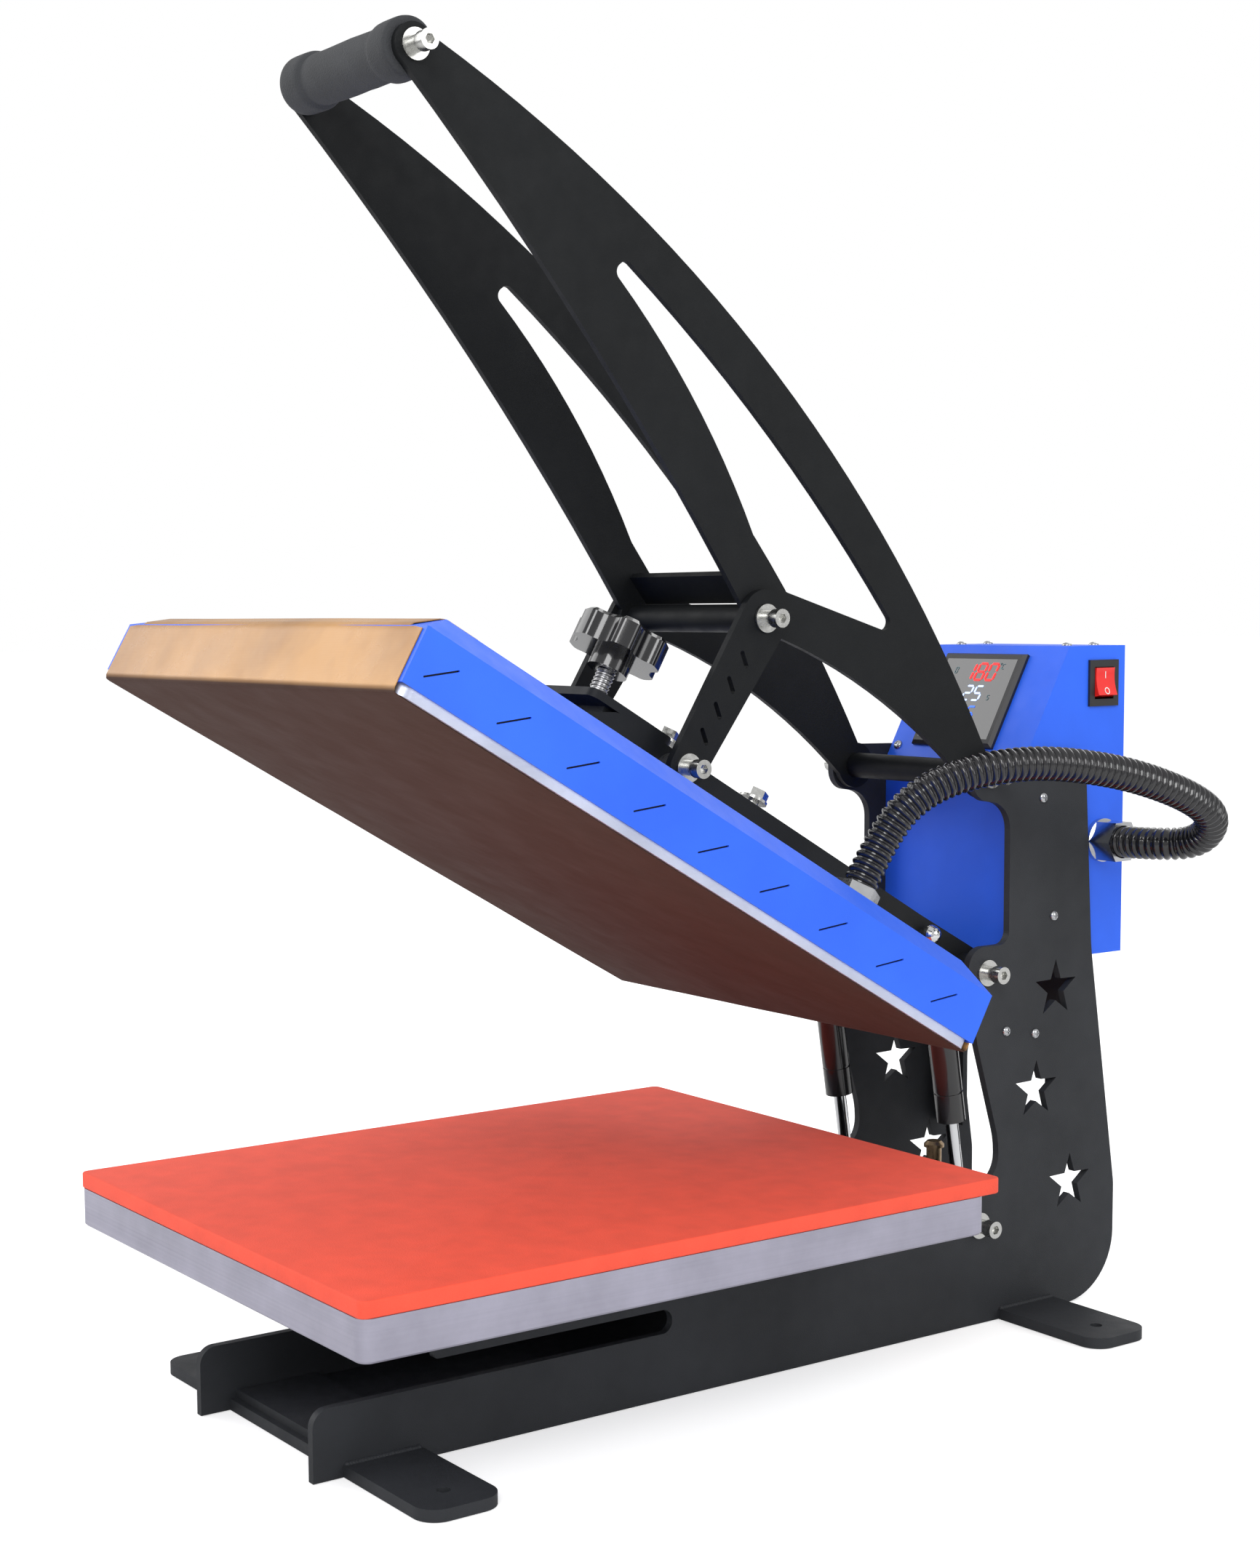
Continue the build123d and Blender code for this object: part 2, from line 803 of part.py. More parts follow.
# Arms: two bars on a pivot tube
def arm_outline():
    """Arm bar from its pivot lobe to its nose."""
    heel = -pivot_behind - arm_heel
    points = (
        (heel, pivot_rise - arm_heel),
        (heel, pivot_rise + arm_heel - 2),
        (-60, arm_top_n),
        (arm_front_s - 36, arm_top_n),
        (arm_front_s, arm_nose_n),
        (arm_front_s, arm_low_n),
    )
    FilletPolyline(*points, radius=(19, 18, 60, 14, 8, 10), close=True)


for hand, sign in (("right", 1), ("left", -1)):
    with BuildPart() as arm_bar:
        with BuildSketch(arm_side(sign * arm_outer_x)):
            with BuildLine():
                arm_outline()
            make_face()
            with Locations((-pivot_behind, pivot_rise)):
                Circle(pivot_tube_d / 2, mode=Mode.SUBTRACT)
        extrude(amount=sign * arm_t)
    finish(arm_bar, f"arm_bar_{hand}")

pivot_tube_half = plate_inner_x - part_gap
with BuildPart() as pivot_tube:
    tube_start = outward(pivot_tube_half, arm_pivot)
    disc(tube_start, pivot_tube_d, 0, -2 * pivot_tube_half)
    bore(tube_start, bolt_d + 2 * run_fit, 0, -2 * pivot_tube_half)
finish(pivot_tube, "pivot_tube")

# Bars across the arms, with guide holes for the platen's bolts
with BuildPart() as guide_bars:
    for guide_s in guide_bolt_s:
        with BuildSketch(deck(cross_bar_top_n, guide_s)):
            Rectangle(2 * arm_inner_x, cross_bar_w)
            Circle(guide_bolt_d / 2 + run_fit, mode=Mode.SUBTRACT)
        extrude(amount=-cross_bar_t)
finish(guide_bars, "guide_bars")

# Threaded block and top plate that take the pressure screw
with BuildPart() as screw_block:
    with BuildSketch(deck(screw_block_low_n, screw_s)):
        Rectangle(2 * arm_inner_x, screw_block_l)
        Circle(screw_d / 2 + run_fit, mode=Mode.SUBTRACT)
    extrude(amount=arm_top_n - screw_block_low_n)
finish(screw_block, "screw_block")

with BuildPart() as screw_plate:
    with BuildSketch(deck(arm_top_n, screw_s)):
        RectangleRounded(2 * arm_outer_x, screw_plate_l, screw_plate_corner)
        Circle(screw_d / 2 + run_fit, mode=Mode.SUBTRACT)
    extrude(amount=screw_plate_t)
finish(screw_plate, "screw_plate")

nut_n = arm_top_n + screw_plate_t
with BuildPart() as screw_nut:
    with BuildSketch(deck(nut_n, screw_s)):
        RegularPolygon(screw_nut_af / 2, 6, major_radius=False)
        Circle(screw_d / 2 + run_fit, mode=Mode.SUBTRACT)
    extrude(amount=screw_nut_h)
finish(screw_nut, "screw_nut")

# Ball studs on the arms, for the tops of the gas springs
with BuildPart() as ball_studs:
    for hand in (1, -1):
        stud_seat = outward(hand * arm_outer_x, spring_top)
        disc(stud_seat, ball_stem_d, 0, spring_x - arm_outer_x)
        ball_centre = spring_top + Vector(hand * spring_x, 0, 0)
        with BuildSketch(Plane(origin=ball_centre, x_dir=(1, 0, 0), z_dir=(0, -1, 0))):
            with BuildLine():
                ball_steps = [pi * k / ball_facets for k in range(ball_facets + 1)]
                Polyline(*((ball_d / 2 * cos(a), ball_d / 2 * sin(a)) for a in ball_steps), close=True)
            make_face()
        revolve(axis=Axis(ball_centre, (1, 0, 0)))
finish(ball_studs, "ball_studs")

# Heat platen: cast slab, heater, insulation
slab_front_s = cover_front_s - cover_wall
slab_rear_s = cover_rear_s + cover_wall
slab_mid_s = (slab_front_s + slab_rear_s) / 2
with BuildPart() as heat_slab:
    with BuildSketch(deck(0, slab_mid_s)):
        RectangleRounded(cover_w - 2 * cover_wall, slab_front_s - slab_rear_s, slab_corner)
    extrude(amount=slab_t)
finish(heat_slab, "heat_slab")

heater_n = slab_t + heater_d / 2
heater_points = []
for run in range(heater_runs):
    run_s = slab_mid_s + (run - (heater_runs - 1) / 2) * heater_pitch
    ends = (-heater_half_run * 0.8, heater_half_run * 0.8)
    for end_x in ends if run % 2 == 0 else reversed(ends):
        heater_points.append(on_platen(run_s, heater_n, end_x))
with BuildPart() as heater_tube:
    with BuildLine() as heater_path:
        FilletPolyline(*heater_points, radius=heater_pitch * 0.4)
    with BuildSketch(Plane(origin=heater_path.line @ 0, z_dir=heater_path.line % 0)):
        Circle(heater_d / 2)
    sweep()
finish(heater_tube, "heater_tube")

with BuildPart() as insulation:
    with BuildSketch(deck(slab_t + heater_d, slab_mid_s)):
        Rectangle(cover_w - 2 * cover_wall - 2 * insulation_inset,
                  slab_front_s - slab_rear_s - 2 * insulation_inset)
    extrude(amount=insulation_t)
finish(insulation, "insulation")


# Cover: folded lid with a bevel all round and louvres in both sides
with BuildPart() as platen_cover:
    cover_l = cover_front_s - cover_rear_s
    with BuildSketch(deck(cover_low_n, platen_mid_s)):
        Rectangle(cover_w, cover_l)
    extrude(amount=cover_top_n - cover_low_n)
    lid = top_face(platen_cover, n_axis)
    chamfer(lid.outer_wire().edges(), bevel_in, bevel_drop, reference=lid)
    offset(amount=-cover_wall, openings=top_face(platen_cover, -n_axis))
    with BuildSketch(arm_side(cover_w / 2)):
        for k in range(louvre_count):
            with Locations(Location((louvre_first_s + k * louvre_pitch, louvre_n), louvre_lean)):
                SlotOverall(louvre_l, louvre_h)
    extrude(amount=cover_w, mode=Mode.SUBTRACT)
    bore(deck(cover_top_n, gland_s, gland_x), gland_bore_d, 0, -2 * cover_wall)
finish(platen_cover, "platen_cover")

# Release sheet under the slab, folded over the bevels and onto the lid at front and rear
sheet_low_turn = atan2(bevel_in, bevel_drop)
sheet_top_turn = atan2(bevel_drop, bevel_in)
bevel_low_n = cover_top_n - bevel_drop
sheet_fold_n = bevel_low_n + sheet_t * tan(sheet_low_turn / 2)
sheet_crest = sheet_t * tan(sheet_top_turn / 2)
with BuildPart() as release_sheet:
    with BuildSketch(arm_side(sheet_w / 2)):
        with BuildLine():
            Polyline(
                (cover_front_s, bevel_low_n),
                (cover_front_s, 0),
                (cover_rear_s, 0),
                (cover_rear_s, bevel_low_n),
                (cover_rear_s - sheet_t, bevel_low_n),
                (cover_rear_s - sheet_t, -sheet_t),
                (cover_front_s + sheet_t, -sheet_t),
                (cover_front_s + sheet_t, bevel_low_n),
                close=True,
            )
        make_face()
    extrude(amount=sheet_w)
    for edge_s, way in ((cover_front_s, 1), (cover_rear_s, -1)):
        crest_s = edge_s - way * bevel_in
        with BuildSketch(arm_side(sheet_fold_w / 2)):
            with BuildLine():
                Polyline(
                    (edge_s, bevel_low_n),
                    (edge_s + way * sheet_t, bevel_low_n),
                    (edge_s + way * sheet_t, sheet_fold_n),
                    (crest_s + way * sheet_crest, cover_top_n + sheet_t),
                    (crest_s - way * sheet_lap, cover_top_n + sheet_t),
                    (crest_s - way * sheet_lap, cover_top_n),
                    (crest_s, cover_top_n),
                    close=True,
                )
            make_face()
        extrude(amount=sheet_fold_w)
finish(release_sheet, "release_sheet")

# Guide bolts standing on the cover, through the guide bars
guide_head_n = cross_bar_top_n + lift_travel + guide_play
with BuildPart() as guide_bolts:
    for guide_s in guide_bolt_s:
        guide_seat = deck(cover_top_n, guide_s)
        disc(guide_seat, guide_foot_d, 0, guide_foot_h)
        disc(guide_seat, guide_bolt_d, guide_foot_h, guide_head_n - cover_top_n - guide_foot_h)
        disc(deck(guide_head_n, guide_s), guide_washer_d, 0, guide_washer_t)
        with BuildSketch(deck(guide_head_n + guide_washer_t, guide_s)):
            RegularPolygon(guide_head_af / 2, 6, major_radius=False)
        extrude(amount=guide_head_h)
finish(guide_bolts, "guide_bolts")

# Seat on the cover that the pressure screw turns in
with BuildPart() as thrust_pad:
    thrust_plane = deck(cover_top_n, screw_s)
    disc(thrust_plane, thrust_pad_d, 0, thrust_pad_t)
    bore(thrust_plane, screw_d + 2 * run_fit, thrust_seat_t, thrust_pad_t)
finish(thrust_pad, "thrust_pad")

# Hex gland of the conduit on the cover
with BuildPart() as platen_gland:
    with BuildSketch(deck(cover_top_n, gland_s, gland_x)):
        RegularPolygon(gland_af / 2, 6, major_radius=False)
    extrude(amount=gland_h)
    bore(deck(cover_top_n, gland_s, gland_x), gland_bore_d, 0, gland_h)
finish(platen_gland, "platen_gland")

# Conduit hose from the platen to the control box
hose_points = [on_platen(gland_s, hose_start_n, gland_x), on_platen(gland_s, hose_rise_n, gland_x)]
for route_x, route_y, route_z in hose_route:
    hose_points.append(Vector(route_x, route_y - datum_y, route_z))
hose_points.append(Vector(hose_end_x, box_gland_y - datum_y, box_gland_z))
hose_runs = [(b - a) for a, b in zip(hose_points, hose_points[1:])]
hose_radii = []
for run_in, run_out in zip(hose_runs, hose_runs[1:]):
    turn = radians(run_in.get_angle(run_out))
    hose_radii.append(hose_bend * min(run_in.length, run_out.length) / tan(turn / 2))
print("hose radii", [round(r, 1) for r in hose_radii])
with BuildPart() as conduit_hose:
    with BuildLine() as hose_path:
        FilletPolyline(*hose_points, radius=hose_radii)
    with BuildSketch(Plane(origin=hose_path.line @ 0, z_dir=hose_path.line % 0)):
        Circle(hose_d / 2)
    sweep()
finish(conduit_hose, "conduit_hose")
print("hose length", round(sum(edge.length for edge in hose_path.line.edges()), 1))

# Pressure knob and its screw
knob_deck = deck(knob_low_n, screw_s)
with BuildPart() as pressure_knob:
    with BuildSketch(knob_deck):
        Circle(knob_d / 2)
        with PolarLocations(knob_scoop_out, knob_lobes):
            Circle(knob_scoop_r, mode=Mode.SUBTRACT)
        fillet(vertices(), knob_lobe_r)
    extrude(amount=knob_h)
    chamfer(top_face(pressure_knob, n_axis).outer_wire().edges(), knob_edge)
    with BuildSketch(knob_deck.offset(knob_h)):
        Circle(knob_crown_d / 2)
    extrude(amount=knob_crown_h, taper=30)
    disc(knob_deck, knob_hub_d, 0, -knob_hub_h)
    bore(knob_deck, screw_d, -knob_hub_h, screw_hold)
finish(pressure_knob, "pressure_knob")

screw_low_n = cover_top_n + thrust_seat_t + part_gap
with BuildPart() as pressure_screw:
    disc(deck(screw_low_n, screw_s), screw_d, 0, knob_low_n - knob_hub_h + screw_hold - screw_low_n)
finish(pressure_screw, "pressure_screw")


# Handle: two plates with a window, tied by two tubes, a flat brace and the grip
def bowed(a, b, sag):
    """Arc between two places in the side plane, bowed up and back."""
    run = Vector(*b) - Vector(*a)
    middle = (Vector(*a) + Vector(*b)) / 2 + Vector(abs(run.Y), abs(run.X)).normalized() * sag
    ThreePointArc(a, middle, b)


grip_rear = (136.9, 902.9)
grip_front = (112.8, 887.6)
hinge_top = (619.3, 438.4)
hinge_low = (600.5, 414.5)
heel_low = (411, 528.4)
heel_front = (385.5, 546.5)
for hand, sign in (("right", 1), ("left", -1)):
    with BuildPart() as handle_plate:
        with BuildSketch(side(sign * handle_outer_x)):
            with BuildLine():
                bowed(grip_rear, hinge_top, handle_rear_sag)
                Polyline(hinge_top, (handle_pivot_y, handle_pivot_z), hinge_low)
                bowed(heel_low, hinge_low, handle_heel_sag)
                Polyline(heel_low, (link_top_y, link_top_z), heel_front)
                bowed(grip_front, heel_front, handle_front_sag)
                Polyline(grip_front, (grip_y, grip_z), grip_rear)
            make_face()
            with Locations((handle_pivot_y, handle_pivot_z)):
                Circle(handle_hinge_r)
                Circle(bolt_d / 2 + run_fit, mode=Mode.SUBTRACT)
            with Locations((link_top_y, link_top_z)):
                Circle(handle_link_r)
                Circle(bolt_d / 2, mode=Mode.SUBTRACT)
            with Locations((grip_y, grip_z)):
                Circle(handle_grip_r)
                Circle(bolt_d / 2, mode=Mode.SUBTRACT)
        extrude(amount=-sign * handle_t)
        with BuildSketch(side(sign * handle_outer_x)):
            with BuildLine():
                Line(window_front_tip, window_rear_tip)
                bowed(window_rear_tip, window_toe, window_rear_sag)
                Polyline(window_toe, window_heel, window_front)
                bowed(window_front_tip, window_front, window_front_sag)
            make_face()
            fillet(vertices().sort_by(Axis.Y)[1:3], window_heel_r)
            ends = vertices().sort_by(Axis.Y)
            fillet([ends[0], ends[-2], ends[-1]], window_corner)
        extrude(amount=-sign * handle_t, mode=Mode.SUBTRACT)
    finish(handle_plate, f"handle_plate_{hand}")

with BuildPart() as handle_tubes:
    for tube_axis, tube_bore in ((handle_pivot, bolt_d + 2 * run_fit), (link_top, bolt_d)):
        disc(outward(handle_inner_x, tube_axis), hinge_tube_d, 0, -2 * handle_inner_x)
        bore(outward(handle_inner_x, tube_axis), tube_bore, 0, -2 * handle_inner_x)
finish(handle_tubes, "handle_tubes")

with BuildPart() as handle_brace:
    with BuildSketch(side(-handle_inner_x)):
        with Locations(Location((brace_y, brace_z), brace_turn)):
            Rectangle(brace_w, brace_t)
    extrude(amount=2 * handle_inner_x)
finish(handle_brace, "handle_brace")

with BuildPart() as grip_tube:
    grip_start = outward(handle_inner_x, grip_axis)
    disc(grip_start, grip_tube_d, 0, -2 * handle_inner_x)
    bore(grip_start, bolt_d, 0, -2 * handle_inner_x)
finish(grip_tube, "grip_tube")

grip_half = handle_inner_x - part_gap
with BuildPart() as grip_foam:
    with BuildSketch(Plane(origin=grip_axis, x_dir=(1, 0, 0), z_dir=(0, -1, 0))):
        with BuildLine():
            neck_start = grip_half - grip_end_l
            neck_end = neck_start - grip_neck_l
            FilletPolyline(
                (-grip_half, grip_tube_d / 2),
                (-grip_half, grip_d / 2),
                (-neck_start, grip_d / 2),
                (-neck_end, grip_waist_d / 2),
                (neck_end, grip_waist_d / 2),
                (neck_start, grip_d / 2),
                (grip_half, grip_d / 2),
                (grip_half, grip_tube_d / 2),
                radius=(0, grip_end_r, grip_blend_r, grip_blend_r,
                        grip_blend_r, grip_blend_r, grip_end_r, 0),
                close=True,
            )
        make_face()
    revolve(axis=Axis(grip_axis, (1, 0, 0)))
finish(grip_foam, "grip_foam")
grip_seats = bolt_pair(handle_outer_x, grip_axis)
cap_bolts("grip_bolts", grip_seats[:1], grip_seats[1:])
cap_bolts("link_top_bolts", bolt_pair(link_outer_x + part_gap, link_top, link_bolt_reach))

# Links from the handle to the arms
link_run = Vector(link_low.Y - link_top.Y, link_low.Z - link_top.Z)
link_turn = degrees(atan2(link_run.Y, link_run.X))
for hand, sign in (("right", 1), ("left", -1)):
    with BuildPart() as link:
        with BuildSketch(side(sign * link_outer_x)):
            with Locations((link_top_y, link_top_z)):
                Circle(link_top_r)
            with Locations((link_low.Y + datum_y, link_low.Z)):
                Circle(link_low_r)
            make_hull()
            with Locations((link_top_y, link_top_z)):
                Circle(bolt_d / 2 + run_fit, mode=Mode.SUBTRACT)
            with Locations((link_low.Y + datum_y, link_low.Z)):
                Circle(bolt_d / 2, mode=Mode.SUBTRACT)
            for k in range(link_notches):
                along = (link_notch_first + k * link_notch_pitch) / link_run.length
                notch = Vector(link_top_y, link_top_z) + link_run * along
                with Locations(Location((notch.X, notch.Y), link_turn + 90 - link_notch_lean)):
                    SlotOverall(link_notch_l, link_notch_h, mode=Mode.SUBTRACT)
        extrude(amount=-sign * link_t)
    finish(link, f"link_{hand}")

with BuildPart() as link_spacers:
    for spacer_seat in both_sides(link_inner_x, link_low):
        spacer_l = link_inner_x - arm_outer_x - part_gap
        disc(spacer_seat, spacer_d, 0, -spacer_l)
        bore(spacer_seat, bolt_d, 0, -spacer_l)
finish(link_spacers, "link_spacers")
link_low_reach = link_outer_x - arm_outer_x - part_gap
cap_bolts("link_low_bolts", bolt_pair(link_outer_x, link_low, link_low_reach))

# Gas springs: rod with its eye on the shaft, tube with its neck near the ball
for hand, sign in (("right", 1), ("left", -1)):
    spring_start = spring_foot + Vector(sign * spring_x, 0, 0)
    spring_plane = Plane(origin=spring_start, x_dir=(1, 0, 0), z_dir=spring_up)
    eye_plane = outward(sign * (spring_x - spring_eye_t / 2), spring_foot)
    rod_top = spring_length - spring_head - spring_rod_room
    with BuildPart() as gas_rod:
        disc(eye_plane, spring_eye_d, 0, spring_eye_t)
        disc(spring_plane, spring_rod_d, 0, rod_top)
        bore(eye_plane, foot_shaft_d + 2 * run_fit, 0, spring_eye_t)
    finish(gas_rod, f"gas_rod_{hand}")
    tube_top = spring_length - spring_head
    tube_low = tube_top - spring_tube_l
    neck_top = spring_length - ball_d / 2 - ball_gap
    with BuildPart() as gas_tube:
        disc(spring_plane, spring_tube_d, tube_low, spring_tube_l)
        disc(spring_plane, spring_neck_d, tube_top, neck_top - tube_top)
        with BuildSketch(spring_plane.offset(tube_low + spring_collar_l)):
            Circle(spring_tube_d / 2)
            Circle(spring_tube_d / 2 - spring_collar_groove, mode=Mode.SUBTRACT)
        extrude(amount=spring_collar_groove * 2, mode=Mode.SUBTRACT)
        bore(spring_plane, spring_rod_d + 2 * run_fit, tube_low, spring_tube_l - spring_cap_t)
    finish(gas_tube, f"gas_tube_{hand}")
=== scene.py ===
import math

import bmesh
import bpy
from mathutils import Matrix, Vector, noise


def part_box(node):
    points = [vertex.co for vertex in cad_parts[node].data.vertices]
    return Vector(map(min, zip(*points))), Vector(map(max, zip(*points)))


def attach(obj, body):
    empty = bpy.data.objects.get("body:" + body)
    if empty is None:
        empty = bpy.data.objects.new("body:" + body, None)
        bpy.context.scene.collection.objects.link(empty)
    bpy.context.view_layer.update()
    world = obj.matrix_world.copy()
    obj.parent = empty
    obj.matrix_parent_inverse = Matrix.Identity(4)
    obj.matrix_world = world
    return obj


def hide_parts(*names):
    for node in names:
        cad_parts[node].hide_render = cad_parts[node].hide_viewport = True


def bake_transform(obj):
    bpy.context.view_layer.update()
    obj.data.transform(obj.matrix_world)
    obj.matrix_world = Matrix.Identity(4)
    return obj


bl_info = {
    "name": "Clamshell heat press dressing",
    "version": (1, 0, 0),
    "blender": (4, 5, 0),
    "location": "3D View > Sidebar > Heat Press",
    "description": "Finishes and fine pieces of a clamshell heat press around its packed model",
    "category": "Object",
}

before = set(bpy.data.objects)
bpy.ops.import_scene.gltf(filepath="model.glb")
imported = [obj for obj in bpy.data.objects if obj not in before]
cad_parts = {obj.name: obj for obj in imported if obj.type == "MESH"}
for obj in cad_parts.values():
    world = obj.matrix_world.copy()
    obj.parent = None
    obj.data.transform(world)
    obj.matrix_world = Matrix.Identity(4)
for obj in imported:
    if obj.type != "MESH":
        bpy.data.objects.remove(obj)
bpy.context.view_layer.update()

X_AXIS = Vector((1, 0, 0))
Y_AXIS = Vector((0, 1, 0))
Z_AXIS = Vector((0, 0, 1))

# Places shared with the solids, in metres
TILT = math.radians(29.84)
DATUM_Y = 0.371
ARM_PIVOT = Vector((0, 0.615 - DATUM_Y, 0.271))
ALONG = Vector((0, -math.cos(TILT), math.sin(TILT)))
UP = Vector((0, math.sin(TILT), math.cos(TILT)))
PLATEN_ROOT = ARM_PIVOT + ALONG * 0.1205 - UP * 0.0917
SLOPE_FOOT = Vector((0, 0.656 - DATUM_Y, 0.425))
SLOPE_HEAD = Vector((0, 0.706 - DATUM_Y, 0.516))
SLOPE_UP = (SLOPE_HEAD - SLOPE_FOOT).normalized()
SLOPE_OUT = X_AXIS.cross(SLOPE_UP)


def on_platen(s, n, x=0.0):
    """Point in the open heat platen's plane: s forward from its rear, n up from its face."""
    return PLATEN_ROOT + ALONG * s + UP * n + X_AXIS * x


def on_slope(up, x=0.0, out=0.0):
    """Point on the control box's sloping front."""
    return SLOPE_FOOT + SLOPE_UP * up + SLOPE_OUT * out + X_AXIS * x


def seat(origin, across, up, out):
    """Matrix that lays local X, Y and Z along three directions at a place."""
    turned = Matrix((across, up, out)).transposed().to_4x4()
    return Matrix.Translation(origin) @ turned


# Finishes

def new_finish(name, colour, roughness, metallic=0.0):
    """Material with a principled shader, and the tools to wire it."""
    finish = bpy.data.materials.new(name)
    finish.use_nodes = True
    shader = finish.node_tree.nodes["Principled BSDF"]
    shader.inputs["Base Color"].default_value = (*colour, 1)
    shader.inputs["Roughness"].default_value = roughness
    shader.inputs["Metallic"].default_value = metallic
    return finish, finish.node_tree, shader


def place_on_piece(tree, scale=(1, 1, 1), turn=(0, 0, 0)):
    """Object coordinates, stretched and turned."""
    coords = tree.nodes.new("ShaderNodeTexCoord")
    mapping = tree.nodes.new("ShaderNodeMapping")
    mapping.inputs["Scale"].default_value = scale
    mapping.inputs["Rotation"].default_value = turn
    tree.links.new(coords.outputs["Object"], mapping.inputs["Vector"])
    return mapping.outputs["Vector"]


def cloud(tree, where, scale, detail=3.0, rough=0.5):
    """Noise value on a piece."""
    grain = tree.nodes.new("ShaderNodeTexNoise")
    grain.inputs["Scale"].default_value = scale
    grain.inputs["Detail"].default_value = detail
    grain.inputs["Roughness"].default_value = rough
    tree.links.new(where, grain.inputs["Vector"])
    return grain.outputs["Fac"]


def spread(tree, value, low, high, start=0.3, end=0.7):
    """A value between two limits from a noise value."""
    limits = tree.nodes.new("ShaderNodeMapRange")
    limits.inputs["From Min"].default_value = start
    limits.inputs["From Max"].default_value = end
    limits.inputs["To Min"].default_value = low
    limits.inputs["To Max"].default_value = high
    tree.links.new(value, limits.inputs["Value"])
    return limits.outputs["Result"]


def tint(tree, value, dark, light):
    """Colour between two tones from a value."""
    mix = tree.nodes.new("ShaderNodeMix")
    mix.data_type = "RGBA"
    mix.inputs["A"].default_value = (*dark, 1)
    mix.inputs["B"].default_value = (*light, 1)
    tree.links.new(value, mix.inputs["Factor"])
    return mix.outputs["Result"]


def above_platen(tree, start, end):
    """0 to 1 between two heights over the heat platen's face."""
    rise = tree.nodes.new("ShaderNodeVectorMath")
    rise.operation = "DOT_PRODUCT"
    rise.inputs[1].default_value = UP
    tree.links.new(place_on_piece(tree), rise.inputs[0])
    level = PLATEN_ROOT.dot(UP)
    return spread(tree, rise.outputs["Value"], 0, 1, level + start, level + end)


def relief(tree, shader, height, depth, reach=0.001, under=None):
    """Bump on the shader's normal, over another bump where given."""
    bump = tree.nodes.new("ShaderNodeBump")
    bump.inputs["Strength"].default_value = depth
    bump.inputs["Distance"].default_value = reach
    tree.links.new(height, bump.inputs["Height"])
    if under:
        tree.links.new(under, bump.inputs["Normal"])
    tree.links.new(bump.outputs["Normal"], shader.inputs["Normal"])
    return bump.outputs["Normal"]


def shade(colour, factor):
    """A colour made lighter or darker."""
    return tuple(min(1.0, c * factor) for c in colour)


def powder_coat(name, colour, roughness=0.5, grain=1400, depth=0.25, worn=1.25, shine=0.3):
    """Painted steel: fine orange peel, faint clouding and uneven gloss."""
    finish, tree, shader = new_finish(name, colour, roughness)
    where = place_on_piece(tree)
    broad = spread(tree, cloud(tree, where, 9, 4), 0, 1, 0.35, 0.68)
    tree.links.new(tint(tree, broad, shade(colour, 0.88), shade(colour, worn)), shader.inputs["Base Color"])
    fine = cloud(tree, where, grain, 2)
    tree.links.new(spread(tree, cloud(tree, where, 60, 4), roughness - 0.06, roughness + 0.08),
                   shader.inputs["Roughness"])
    relief(tree, shader, fine, depth, 0.0004)
    shader.inputs["Specular IOR Level"].default_value = shine
    return finish


def bare_metal(name, colour, roughness=0.25, scratch=(40, 40, 900), depth=0.12, metallic=1.0):
    """Metal with a drawn grain and faint stains."""
    finish, tree, shader = new_finish(name, colour, roughness, metallic)
    streaks = cloud(tree, place_on_piece(tree, scratch), 1.0, 4)
    stains = spread(tree, cloud(tree, place_on_piece(tree), 24, 4), 0, 1, 0.35, 0.7)
    tree.links.new(tint(tree, stains, shade(colour, 0.86), colour), shader.inputs["Base Color"])
    tree.links.new(spread(tree, streaks, roughness * 0.7, roughness * 1.4), shader.inputs["Roughness"])
    relief(tree, shader, streaks, depth, 0.0003)
    return finish


def moulded(name, colour, roughness=0.35, grain=700, depth=0.15, coat=0.0):
    """Moulded plastic or rubber with a fine grain."""
    finish, tree, shader = new_finish(name, colour, roughness)
    where = place_on_piece(tree)
    patches = spread(tree, cloud(tree, where, 30, 3), 0, 1)
    tree.links.new(tint(tree, patches, shade(colour, 0.9), shade(colour, 1.15)), shader.inputs["Base Color"])
    shader.inputs["Coat Weight"].default_value = coat
    relief(tree, shader, cloud(tree, where, grain, 2), depth, 0.0003)
    return finish


def foam(name, colour, cell, depth=0.5, roughness=0.85, speck=1.15):
    """Closed cell foam: small pits all over."""
    finish, tree, shader = new_finish(name, colour, roughness)
    where = place_on_piece(tree)
    pits = tree.nodes.new("ShaderNodeTexVoronoi")
    pits.inputs["Scale"].default_value = cell
    tree.links.new(where, pits.inputs["Vector"])
    patches = spread(tree, cloud(tree, where, 40, 4), 0, 1)
    tree.links.new(tint(tree, patches, shade(colour, 0.93), shade(colour, speck)),
                   shader.inputs["Base Color"])
    shader.inputs["Sheen Weight"].default_value = 0.03
    relief(tree, shader, pits.outputs["Distance"], depth, 0.0005)
    return finish


# Dark brown for the release cloth's underside: painted shade under the heat platen.
UNDERSIDE_PAINTED_SHADE = (0.058, 0.026, 0.017)


